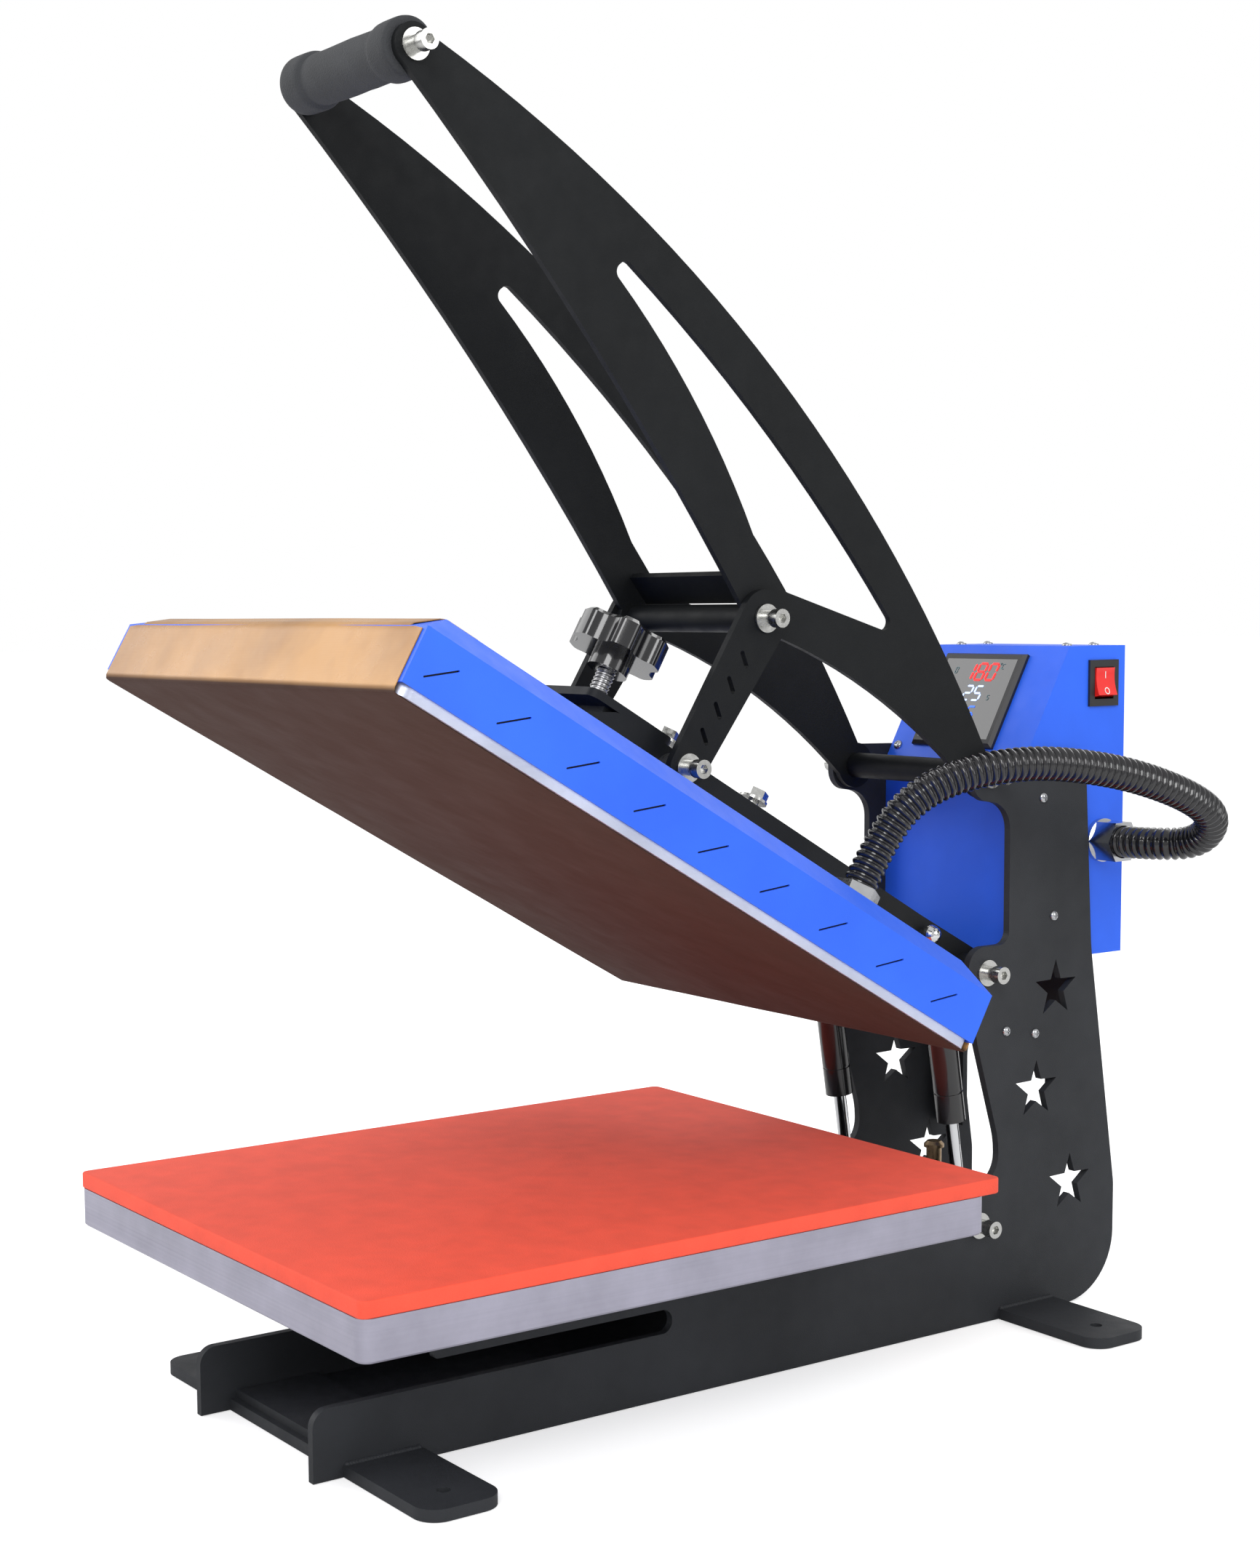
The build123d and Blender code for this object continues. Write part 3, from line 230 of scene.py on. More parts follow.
def coated_cloth(name, colour, dark):
    """Glass cloth with a slick coating: fine weave, slow waves, brown scorch clouds, and painted shade on its
    underside.
    """
    finish, tree, shader = new_finish(name, colour, 0.3)
    flat = place_on_piece(tree, turn=(-TILT, 0, 0))
    clouds = spread(tree, cloud(tree, flat, 7, 5, 0.6), 0, 1, 0.38, 0.72)
    # Painted shade: below its outer face the cloth turns dark brown, standing in for the shade under the
    # platen.
    outer = above_platen(tree, 0.0005, 0.004)
    whole = tint(tree, outer, UNDERSIDE_PAINTED_SHADE, colour)
    tree.links.new(tint(tree, clouds, colour, dark), whole.node.inputs["B"])
    tree.links.new(whole, shader.inputs["Base Color"])
    gloss = tree.nodes.new("ShaderNodeMath")
    gloss.operation = "MULTIPLY_ADD"
    gloss.inputs[1].default_value = -0.5
    tree.links.new(outer, gloss.inputs[0])
    tree.links.new(spread(tree, cloud(tree, flat, 30, 3), 0.74, 0.84), gloss.inputs[2])
    tree.links.new(gloss.outputs[0], shader.inputs["Roughness"])
    weave_across = tree.nodes.new("ShaderNodeTexWave")
    weave_across.inputs["Scale"].default_value = 320
    weave_across.bands_direction = "X"
    weave_along = tree.nodes.new("ShaderNodeTexWave")
    weave_along.inputs["Scale"].default_value = 320
    weave_along.bands_direction = "Y"
    tree.links.new(flat, weave_across.inputs["Vector"])
    tree.links.new(flat, weave_along.inputs["Vector"])
    both = tree.nodes.new("ShaderNodeMath")
    both.operation = "ADD"
    tree.links.new(weave_across.outputs["Fac"], both.inputs[0])
    tree.links.new(weave_along.outputs["Fac"], both.inputs[1])
    threads = relief(tree, shader, both.outputs[0], 0.08, 0.0003)
    relief(tree, shader, cloud(tree, flat, 14, 3), 0.5, 0.004, threads)
    shader.inputs["Specular IOR Level"].default_value = 0.32
    return finish


def lit(name, colour, strength):
    """Light emitting segment."""
    finish, tree, shader = new_finish(name, colour, 0.4)
    shader.inputs["Emission Color"].default_value = (*colour, 1)
    shader.inputs["Emission Strength"].default_value = strength
    glow = spread(tree, cloud(tree, place_on_piece(tree), 900, 2), 0.0, 1.0)
    tree.links.new(tint(tree, glow, shade(colour, 0.85), colour), shader.inputs["Base Color"])
    return finish


def cast_metal(name, colour, roughness=0.42):
    """Sawn and ground aluminium: lines along the edges, speckle and small stains."""
    finish, tree, shader = new_finish(name, colour, roughness, 0.75)
    where = place_on_piece(tree)
    lines = cloud(tree, place_on_piece(tree, (3, 3, 700)), 1.0, 5)
    stains = spread(tree, cloud(tree, where, 16, 5, 0.6), 0, 1, 0.3, 0.7)
    tree.links.new(tint(tree, stains, shade(colour, 0.82), shade(colour, 1.08)), shader.inputs["Base Color"])
    tree.links.new(spread(tree, lines, roughness - 0.12, roughness + 0.14), shader.inputs["Roughness"])
    ground = relief(tree, shader, lines, 0.15, 0.0004)
    relief(tree, shader, cloud(tree, where, 500, 3), 0.12, 0.0004, ground)
    return finish


def paint_shade_above(finish, start, end, colour):
    """Paints shade on a finish: turns it to another colour above a height over the heat platen's face."""
    tree = finish.node_tree
    shader = tree.nodes["Principled BSDF"]
    lower = shader.inputs["Base Color"].links[0].from_socket
    mixed = tint(tree, above_platen(tree, start, end), (0, 0, 0), colour)
    tree.links.new(lower, mixed.node.inputs["A"])
    tree.links.new(mixed, shader.inputs["Base Color"])


def give(finish, *names):
    """Puts a finish on CAD nodes."""
    for name in names:
        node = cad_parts[name]
        node.data.materials.clear()
        node.data.materials.append(finish)


# Modelling helpers

def begin():
    """Nothing selected, object mode."""
    if bpy.context.object and bpy.context.object.mode != "OBJECT":
        bpy.ops.object.mode_set(mode="OBJECT")
    bpy.ops.object.select_all(action="DESELECT")


def make_active(piece):
    """One piece selected and active, object mode."""
    begin()
    piece.select_set(True)
    bpy.context.view_layer.objects.active = piece


def new_piece(name, verts=(), edges=(), faces=()):
    """Object from points, edges and faces, linked and active."""
    shape = bpy.data.meshes.new(name)
    shape.from_pydata(verts, edges, faces)
    shape.update()
    piece = bpy.data.objects.new(name, shape)
    bpy.context.collection.objects.link(piece)
    make_active(piece)
    return piece


def select_where(piece, kind, test):
    """In edit mode, selects the faces, edges or points that pass a test."""
    bpy.ops.mesh.select_all(action="DESELECT")
    shape = bmesh.from_edit_mesh(piece.data)
    bpy.ops.mesh.select_mode(type={"faces": "FACE", "edges": "EDGE", "verts": "VERT"}[kind])
    for part in getattr(shape, kind):
        part.select_set(bool(test(part)))
    shape.select_flush_mode()
    bmesh.update_edit_mesh(piece.data)


def put(piece, name, body, finish, matrix=None, smooth=40):
    """Names a finished piece, moves its mesh to its place, and rides it on a body."""
    piece.name = name
    piece.data.name = name
    bpy.ops.object.mode_set(mode="OBJECT")
    bpy.ops.object.transform_apply(location=True, rotation=True, scale=True)
    if matrix is not None:
        piece.data.transform(matrix)
    if smooth:
        bpy.ops.object.shade_smooth_by_angle(angle=math.radians(smooth))
    piece.data.materials.clear()
    piece.data.materials.append(finish)
    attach(piece, body)
    return piece


def spun(name, profile, steps=48):
    """Solid of revolution about local Z from a profile of (radius, height)."""
    chain = [(k, k + 1) for k in range(len(profile) - 1)]
    piece = new_piece(name, [(r, 0, z) for r, z in profile], chain)
    bpy.ops.object.mode_set(mode="EDIT")
    bpy.ops.mesh.select_all(action="SELECT")
    bpy.ops.mesh.spin(steps=steps, angle=math.tau, center=(0, 0, 0), axis=(0, 0, 1))
    bpy.ops.mesh.select_all(action="SELECT")
    bpy.ops.mesh.remove_doubles(threshold=1e-6)
    bpy.ops.mesh.normals_make_consistent(inside=False)
    return piece


def cube(name, size, location=(0, 0, 0)):
    """Block at a place, in edit mode."""
    begin()
    bpy.ops.mesh.primitive_cube_add(size=1, location=location)
    piece = bpy.context.object
    piece.name = name
    piece.scale = size
    bpy.ops.object.transform_apply(location=True, rotation=True, scale=True)
    bpy.ops.object.mode_set(mode="EDIT")
    return piece


FINISHES = {}


class PressLook(bpy.types.PropertyGroup):
    """Colours and small sizes of the press's finishes and fine pieces."""

    frame_colour: bpy.props.FloatVectorProperty(
        name="Frame colour", description="Powder coat of the towers and rails",
        subtype="COLOR", default=(0.028, 0.030, 0.034))
    handle_colour: bpy.props.FloatVectorProperty(
        name="Handle colour", description="Powder coat of the handle and links",
        subtype="COLOR", default=(0.009, 0.010, 0.011))
    cover_colour: bpy.props.FloatVectorProperty(
        name="Cover colour", description="Powder coat of the platen cover and control box",
        subtype="COLOR", default=(0.030, 0.150, 0.95))
    pad_colour: bpy.props.FloatVectorProperty(
        name="Pad colour", description="Silicone foam pad",
        subtype="COLOR", default=(0.93, 0.090, 0.045))
    sheet_colour: bpy.props.FloatVectorProperty(
        name="Sheet colour", description="Release sheet",
        subtype="COLOR", default=(0.60, 0.31, 0.10))
    rib_pitch: bpy.props.FloatProperty(
        name="Rib pitch", description="Distance from rib to rib on the conduit",
        subtype="DISTANCE", unit="LENGTH", default=0.0056)


class PRESS_OT_finishes(bpy.types.Operator):
    """Make the finishes and put them on the solids"""

    bl_idname = "press.finishes"
    bl_label = "Finishes"

    def execute(self, context):
        look = context.scene.press_look
        made = {
            "frame": powder_coat("frame_charcoal", tuple(look.frame_colour), 0.52, 1500, 0.45, 1.25, 0.22),
            "handle": powder_coat("handle_black", tuple(look.handle_colour), 0.5, 1600, 0.35, 1.1, 0.16),
            "cover": powder_coat("cover_blue", tuple(look.cover_colour), 0.42, 1100, 0.12, 1.08),
            "arm": powder_coat("arm_black", shade(tuple(look.handle_colour), 1.2), 0.48, 1400, 0.3, 1.1, 0.2),
            "aluminium": cast_metal("ground_aluminium", (0.42, 0.41, 0.50)),
            "slab": cast_metal("cast_slab", (0.60, 0.64, 0.80), 0.42),
            "zinc": bare_metal("bright_zinc", (0.62, 0.62, 0.60), 0.24, (300, 300, 300)),
            "steel": bare_metal("turned_steel", (0.50, 0.50, 0.51), 0.3, (900, 60, 60)),
            "chrome": bare_metal("chrome_plate", (0.78, 0.79, 0.80), 0.1, (200, 200, 200), 0.03),
            "nickel": bare_metal("nickel_plate", (0.70, 0.71, 0.73), 0.16, (260, 260, 260), 0.05),
            "bronze": bare_metal("sintered_bronze", (0.45, 0.30, 0.15), 0.4, (500, 500, 500)),
            "tan_steel": bare_metal("varnished_steel", (0.42, 0.30, 0.18), 0.35, (400, 400, 400)),
            "dark_screw": bare_metal("zinc_screw", (0.55, 0.56, 0.58), 0.26, (400, 400, 400)),
            "black_plastic": moulded("black_plastic", (0.016, 0.016, 0.018), 0.45),
            "knob": moulded("knob_plastic", (0.010, 0.010, 0.011), 0.16, 500, 0.04, 0.6),
            "hose": moulded("sleeve_plastic", (0.011, 0.011, 0.013), 0.2, 900, 0.06, 0.4),
            "spring": moulded("spring_lacquer", (0.012, 0.012, 0.013), 0.22, 900, 0.04, 0.5),
            "red": moulded("switch_red", (0.80, 0.015, 0.012), 0.16, 400, 0.02, 0.5),
            "glass": moulded("display_window", (0.006, 0.006, 0.008), 0.08, 300, 0.01, 0.8),
            "board": moulded("solder_mask", (0.02, 0.12, 0.04), 0.3, 900, 0.1),
            "fibre": foam("fibre_blanket", (0.72, 0.68, 0.58), 260),
            "grip": foam("grip_foam", (0.030, 0.032, 0.036), 900, 0.55, 0.8, 1.35),
            "pad": foam("pad_foam", tuple(look.pad_colour), 1100, 0.35, 0.75, 1.06),
            "sheet": coated_cloth("release_cloth", tuple(look.sheet_colour), (0.34, 0.16, 0.05)),
            "heater": bare_metal("sheath_steel", (0.25, 0.20, 0.16), 0.4, (400, 400, 400)),
            "digit_red": lit("digit_red", (1.0, 0.01, 0.01), 1.6),
            "digit_white": lit("digit_white", (0.55, 0.68, 1.0), 0.9),
            "digit_blue": lit("digit_blue", (0.03, 0.13, 1.0), 1.4),
            "mark": moulded("printed_mark", (0.10, 0.20, 0.22), 0.4),
            "white": moulded("white_print", (0.75, 0.75, 0.72), 0.4),
        }
        FINISHES.update(made)
        # Painted shade: the slab turns near black above a thin strip at its face, where the blue cover shades
        # it.
        paint_shade_above(made["slab"], 0.007, 0.009, (0.01, 0.01, 0.012))
        give(made["frame"], "side_plate_right", "side_plate_left", "back_plate", "front_cross_plate",
             "platen_bars", "magnet_bar", "front_foot", "rear_foot")
        give(made["handle"], "handle_plate_right", "handle_plate_left", "handle_brace",
             "link_right", "link_left", "handle_tubes")
        give(made["arm"], "arm_bar_right", "arm_bar_left", "guide_bars", "screw_block", "screw_plate",
             "pivot_tube")
        give(made["cover"], "platen_cover", "control_box", "box_back_cover")
        give(made["aluminium"], "lower_platen")
        give(made["slab"], "heat_slab")
        give(made["zinc"], "tower_bolts", "grip_bolts", "link_top_bolts", "link_low_bolts", "guide_bolts",
             "thrust_pad", "screw_nut")
        give(made["steel"], "spring_shaft", "grip_tube", "pressure_screw", "link_spacers")
        give(made["chrome"], "ball_studs", "gas_rod_right", "gas_rod_left")
        give(made["nickel"], "platen_gland", "box_gland", "holding_magnet")
        give(made["tan_steel"], "magnet_stud")
        give(made["bronze"], "hinge_washers")
        give(made["dark_screw"], "panel_screws")
        give(made["black_plastic"], "display_bezel", "switch_case", "power_inlet")
        give(made["glass"], "display_window")
        give(made["knob"], "pressure_knob")
        give(made["spring"], "gas_tube_right", "gas_tube_left")
        give(made["red"], "switch_rocker")
        give(made["board"], "control_board")
        give(made["fibre"], "insulation")
        give(made["heater"], "heater_tube")
        give(made["grip"], "grip_foam")
        give(made["pad"], "silicone_pad")
        give(made["sheet"], "release_sheet")
        give(made["hose"], "conduit_hose")
        return {"FINISHED"}


# Conduit route, the same points as the solid's
HOSE_D = 0.025
HOSE_ROUTE = (
    on_platen(0.062, 0.051, 0.120),
    on_platen(0.062, 0.105, 0.120),
    Vector((0.136, 0.492 - DATUM_Y, 0.420)),
    Vector((0.162, 0.560 - DATUM_Y, 0.438)),
    Vector((0.178, 0.640 - DATUM_Y, 0.430)),
    Vector((0.187, 0.709 - DATUM_Y, 0.410)),
    Vector((0.184, 0.751 - DATUM_Y, 0.389)),
    Vector((0.158, 0.763 - DATUM_Y, 0.366)),
    Vector((0.122, 0.743 - DATUM_Y, 0.364)),
    Vector((0.082, 0.743 - DATUM_Y, 0.364)),
)


class PRESS_OT_conduit(bpy.types.Operator):
    """Ribbed conduit from the heat platen to the control box"""

    bl_idname = "press.conduit"
    bl_label = "Conduit"

    def execute(self, context):
        begin()
        route = bpy.data.curves.new("conduit_route", "CURVE")
        route.dimensions = "3D"
        line = route.splines.new("NURBS")
        line.points.add(len(HOSE_ROUTE) - 1)
        for point, spot in zip(line.points, HOSE_ROUTE):
            point.co = (*spot, 1)
        line.order_u = 3
        line.use_endpoint_u = True
        line.resolution_u = 64
        carrier = bpy.data.objects.new("conduit_route", route)
        context.collection.objects.link(carrier)
        context.view_layer.update()
        traced = bpy.data.meshes.new_from_object(carrier)
        spots = [v.co.copy() for v in traced.vertices]
        bpy.data.objects.remove(carrier)
        steps = [0.0]
        for a, b in zip(spots, spots[1:]):
            steps.append(steps[-1] + (b - a).length)
        total = steps[-1]
        pitch = context.scene.press_look.rib_pitch
        ribs = round(total / pitch)
        rings_per_rib = 6
        dips = (0.0, 0.0, 0.0006, 0.0019, 0.0019, 0.0006)
        sides = 28
        count = ribs * rings_per_rib + 1
        verts, faces, path = [], [], []
        k = 0
        side = Vector((1, 0, 0))
        for ring in range(count):
            reach = total * ring / (count - 1)
            while k < len(steps) - 2 and steps[k + 1] < reach:
                k += 1
            share = (reach - steps[k]) / max(steps[k + 1] - steps[k], 1e-9)
            spot = spots[k].lerp(spots[k + 1], share)
            ahead = (spots[min(k + 3, len(spots) - 1)] - spots[max(k - 2, 0)]).normalized()
            side = (side - ahead * side.dot(ahead)).normalized()
            other = ahead.cross(side)
            radius = HOSE_D / 2 - dips[ring % rings_per_rib]
            path.append(spot)
            for j in range(sides):
                turn = math.tau * j / sides
                verts.append(spot + side * (radius * math.cos(turn)) + other * (radius * math.sin(turn)))
        for ring in range(count - 1):
            for j in range(sides):
                a = ring * sides + j
                b = ring * sides + (j + 1) % sides
                faces.append((a, b, b + sides, a + sides))
        faces.append(tuple(reversed(range(sides))))
        faces.append(tuple(range((count - 1) * sides, count * sides)))
        piece = new_piece("conduit", verts, [], faces)
        bpy.ops.object.shade_smooth_by_angle(angle=math.radians(50))
        piece.data.materials.append(FINISHES["hose"])
        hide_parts("conduit_hose")
        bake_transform(piece)
        return {"FINISHED"}


PAD_CORNER = 0.006
PAD_RIM = 0.0012


class PRESS_OT_pad(bpy.types.Operator):
    """Silicone foam pad with a softened rim"""

    bl_idname = "press.pad"
    bl_label = "Silicone pad"

    def execute(self, context):
        low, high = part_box("silicone_pad")
        middle = (low + high) / 2
        size = high - low
        pad = cube("pad", (size.x, size.y, size.z), middle)
        select_where(pad, "edges", lambda e: abs((e.verts[0].co - e.verts[1].co).z) > size.z * 0.9)
        bpy.ops.mesh.bevel(offset=PAD_CORNER, segments=6, affect="EDGES")
        bpy.ops.object.mode_set(mode="OBJECT")
        bevel = pad.modifiers.new("rim", "BEVEL")
        bevel.width = PAD_RIM
        bevel.segments = 3
        bevel.limit_method = "ANGLE"
        bevel.angle_limit = math.radians(60)
        bpy.ops.object.modifier_apply(modifier="rim")
        put(pad, "pad_skin", "base", FINISHES["pad"])
        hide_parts("silicone_pad")
        return {"FINISHED"}


# Release sheet and the cover it lies on
SHEET_W = 0.396
FOLD_W = 0.361
SHEET_T = 0.0006
SHEET_LAP = 0.026
SHEET_REAR_N = 0.040
SHEET_SLACK = 0.0005
COVER_FRONT = 0.503
COVER_REAR = -0.0166
COVER_TOP = 0.058
BEVEL_DROP = 0.015
BEVEL_IN = 0.020


class PRESS_OT_sheet(bpy.types.Operator):
    """Release sheet wrapped round the heat platen, with slack waves"""

    bl_idname = "press.sheet"
    bl_label = "Release sheet"

    def execute(self, context):
        crest = COVER_FRONT - BEVEL_IN
        fold_n = COVER_TOP - BEVEL_DROP
        profile = [
            (crest - SHEET_LAP, COVER_TOP + SHEET_T),
            (crest - 0.001, COVER_TOP + SHEET_T),
            (crest + 0.003, COVER_TOP - 0.001),
            (COVER_FRONT - 0.002, fold_n + 0.003),
            (COVER_FRONT + 0.0007, fold_n - 0.002),
            (COVER_FRONT + 0.0007, 0.001),
            (COVER_FRONT - 0.001, -SHEET_T),
            (COVER_REAR + 0.001, -SHEET_T),
            (COVER_REAR - SHEET_T, 0.001),
            (COVER_REAR - SHEET_T, SHEET_REAR_N),
        ]
        steps = [0.0]
        for a, b in zip(profile, profile[1:]):
            steps.append(steps[-1] + math.dist(a, b))
        rows, columns = 220, 60
        begin()
        bpy.ops.mesh.primitive_grid_add(x_subdivisions=columns, y_subdivisions=rows, size=1)
        piece = context.object
        for point in piece.data.vertices:
            share = point.co.y + 0.5
            reach = share * steps[-1]
            k = max(i for i in range(len(steps) - 1) if steps[i] <= reach + 1e-9)
            t = (reach - steps[k]) / (steps[k + 1] - steps[k])
            s = profile[k][0] + (profile[k + 1][0] - profile[k][0]) * t
            n = profile[k][1] + (profile[k + 1][1] - profile[k][1]) * t
            x = point.co.x * (FOLD_W if n > fold_n else SHEET_W)
            wave = noise.noise(Vector((x * 9, s * 7, 3.1))) * SHEET_SLACK
            if n < 0.001:
                n -= abs(wave) * 1.2
            elif s > 0.3:
                s += abs(wave) * 1.5
            elif n < fold_n:
                s -= abs(wave)
            point.co = on_platen(s, n, x)
        thick = piece.modifiers.new("thickness", "SOLIDIFY")
        thick.thickness = SHEET_T
        thick.offset = 1
        bpy.ops.object.modifier_apply(modifier="thickness")
        put(piece, "release_cloth", "heat_platen", FINISHES["sheet"], smooth=50)
        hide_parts("release_sheet")
        return {"FINISHED"}


# Radius and distance from the end of the grip, then the waist up to its middle
GRIP_END = ((0.0126, 0.0), (0.0176, 0.0), (0.0191, 0.0012), (0.0195, 0.005), (0.0195, 0.019),
            (0.0189, 0.0226), (0.0174, 0.0242), (0.0166, 0.0262))
GRIP_WAIST = ((0.0168, -0.045), (0.0171, -0.015), (0.0171, 0.0))
GRIP_INNER_R = 0.0135
GRIP_WEAR = 0.0004


class PRESS_OT_grip(bpy.types.Operator):
    """Foam grip with swollen ends and a slight dent where it is held"""

    bl_idname = "press.grip"
    bl_label = "Grip"

    def execute(self, context):
        low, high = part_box("grip_foam")
        middle = (low + high) / 2
        half = (high.x - low.x) / 2
        profile = [(r, along - half) for r, along in GRIP_END] + list(GRIP_WAIST)
        profile += [(r, -z) for r, z in reversed(profile[:-1])]
        grip = spun("grip", profile, 56)
        bpy.ops.object.mode_set(mode="OBJECT")
        rounding = grip.modifiers.new("rounding", "SUBSURF")
        rounding.levels = 1
        rounding.render_levels = 1
        bpy.ops.object.modifier_apply(modifier="rounding")
        for point in grip.data.vertices:
            out = Vector((point.co.x, point.co.y, 0))
            if out.length > GRIP_INNER_R:
                point.co += out.normalized() * noise.noise(point.co * 60) * GRIP_WEAR
        put(grip, "grip_sleeve", "handle", FINISHES["grip"],
            seat(middle, Y_AXIS, Z_AXIS, X_AXIS), 50)
        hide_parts("grip_foam")
        return {"FINISHED"}


# Seven bars of a digit: (middle x, middle y, lies across), in units of the digit's width
BARS = {
    "top": (0, 1, True), "middle": (0, 0, True), "bottom": (0, -1, True),
    "top_left": (-0.5, 0.5, False), "top_right": (0.5, 0.5, False),
    "low_left": (-0.5, -0.5, False), "low_right": (0.5, -0.5, False),
}
DIGIT_BARS = {
    "0": ("top", "bottom", "top_left", "top_right", "low_left", "low_right"),
    "1": ("top_right", "low_right"),
    "2": ("top", "top_right", "middle", "low_left", "bottom"),
    "5": ("top", "top_left", "middle", "low_right", "bottom"),
    "8": tuple(BARS),
    "C": ("top", "bottom", "top_left", "low_left"),
    "o": ("top", "middle", "top_left", "top_right"),
}

# Text, finish, digit width, half height, place up the window and place across it
DIGIT_ROWS = (
    ("180", "digit_red", 0.0085, 0.0072, 0.0235, 0.004),
    ("25", "digit_white", 0.0075, 0.0062, 0.0045, 0.004),
    ("15", "digit_blue", 0.0070, 0.0056, -0.0130, 0.004),
    ("C", "mark", 0.0024, 0.0021, 0.0285, 0.0265),
    ("o", "mark", 0.0012, 0.0014, 0.0300, 0.0232),
    ("5", "mark", 0.0022, 0.0020, 0.0010, 0.0225),
    ("0", "mark", 0.0024, 0.0026, 0.0245, -0.0235),
    ("0", "mark", 0.0026, 0.0016, -0.0150, -0.0215),
)
DISPLAY_X = -0.006
DISPLAY_UP = 0.054
GLASS_OUT = 0.005
DIGIT_SPACING = 1.45
DIGIT_SLANT = 0.12
DIGIT_T = 0.00035
BAR_W = 0.11
BAR_GAP = 0.55


class PRESS_OT_display(bpy.types.Operator):
    """Digits and small marks on the display window"""

    bl_idname = "press.display"
    bl_label = "Display"

    def execute(self, context):
        for text, finish, width, half_height, up, across_x in DIGIT_ROWS:
            verts, faces = [], []
            for k, digit in enumerate(text):
                start = (k - (len(text) - 1) / 2) * width * DIGIT_SPACING
                for name in DIGIT_BARS[digit]:
                    bx, by, across = BARS[name]
                    reach = width / 2 if across else half_height / 2
                    mx = start + bx * width
                    my = by * half_height
                    thin = width * BAR_W
                    reach -= thin * BAR_GAP
                    corners = ((-reach, 0), (-reach + thin, thin), (reach - thin, thin),
                               (reach, 0), (reach - thin, -thin), (-reach + thin, -thin))
                    first = len(verts)
                    for cx, cy in corners:
                        px, py = (cx, cy) if across else (cy, cx)
                        x = mx + px + (my + py) * DIGIT_SLANT
                        verts.append((x, my + py, 0))
                    order = range(6) if not across else reversed(range(6))
                    faces.append([first + j for j in order])
            piece = new_piece("digits_" + text, verts, [], faces)
            bpy.ops.object.mode_set(mode="EDIT")
            bpy.ops.mesh.select_all(action="SELECT")
            bpy.ops.mesh.extrude_region_move(TRANSFORM_OT_translate={"value": (0, 0, DIGIT_T)})
            bpy.ops.mesh.select_all(action="SELECT")
            bpy.ops.mesh.normals_make_consistent(inside=False)
            middle = on_slope(DISPLAY_UP + up, DISPLAY_X + across_x, GLASS_OUT)
            put(piece, f"digits_{text}_{round(up * 1e4)}", "base", FINISHES[finish],
                seat(middle, X_AXIS, SLOPE_UP, SLOPE_OUT), 0)
        return {"FINISHED"}


# Small screws: places on the box and towers, head profile and recess
BOX_TOP_Z = 0.516
BOX_SCREW_X = 0.058
BOX_SCREW_YS = (0.722, 0.752)
SLOPE_SCREW_X = 0.068
SLOPE_SCREW_UP = 0.012
PLATE_FACE_X = 0.082
TOWER_SCREWS = ((0.673, 0.401), (0.686, 0.309), (0.636, 0.224), (0.667, 0.219))
HEAD_PROFILE = ((0.0, -0.0006), (0.0037, -0.0006), (0.0040, 0.0), (0.0039, 0.0008),
                (0.0031, 0.0018), (0.0017, 0.0024), (0.0, 0.0026))
RECESS_SPAN = 0.0044
RECESS_W = 0.0009
RECESS_H = 0.0024

# Pressure screw
SCREW_S = 0.250
SCREW_D = 0.014
SCREW_LOW_N = 0.064
SCREW_TOP_N = 0.165
THREAD_PITCH = 0.003
THREAD_DEPTH = 0.0011
CORE_FIT = 0.0002
CORE_CHAMFER = 0.0008


def placed_copies(piece, name, seats):
    """Copies of a small piece at each seat, joined into one mesh at the origin."""
    bpy.ops.object.mode_set(mode="OBJECT")
    copies = []
    for place in seats:
        twin = piece.copy()
        twin.data = piece.data.copy()
        twin.data.transform(place)
        bpy.context.collection.objects.link(twin)
        copies.append(twin)
    bpy.data.objects.remove(piece)
    begin()
    for twin in copies:
        twin.select_set(True)
    bpy.context.view_layer.objects.active = copies[0]
    bpy.ops.object.join()
    whole = bpy.context.object
    whole.name = name
    return whole


class PRESS_OT_screws(bpy.types.Operator):
    """Domed screws with a cross recess, in the box and the towers"""

    bl_idname = "press.screws"
    bl_label = "Cross recess screws"

    def execute(self, context):
        head = spun("head", HEAD_PROFILE, 32)
        bpy.ops.object.mode_set(mode="OBJECT")
        for across, along in ((RECESS_SPAN, RECESS_W), (RECESS_W, RECESS_SPAN)):
            slot = cube("slot", (across, along, RECESS_H), (0, 0, RECESS_H))
            bpy.ops.object.mode_set(mode="OBJECT")
            cut = head.modifiers.new("cut", "BOOLEAN")
            cut.object = slot
            cut.operation = "DIFFERENCE"
            make_active(head)
            bpy.ops.object.modifier_apply(modifier="cut")
            bpy.data.objects.remove(slot)
        seats = []
        for x in (-BOX_SCREW_X, BOX_SCREW_X):
            for y in BOX_SCREW_YS:
                seats.append(Matrix.Translation((x, y - DATUM_Y, BOX_TOP_Z)))
            slope_x = math.copysign(SLOPE_SCREW_X, x)
            seats.append(seat(on_slope(SLOPE_SCREW_UP, slope_x), X_AXIS, SLOPE_UP, SLOPE_OUT))
        for hand in (1, -1):
            for y, z in TOWER_SCREWS:
                seats.append(seat(Vector((hand * PLATE_FACE_X, y - DATUM_Y, z)), Y_AXIS * hand,
                                  Z_AXIS, X_AXIS * hand))
        whole = placed_copies(head, "cross_screws", seats)
        put(whole, "cross_screws", "base", FINISHES["dark_screw"])
        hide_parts("panel_screws")
        return {"FINISHED"}


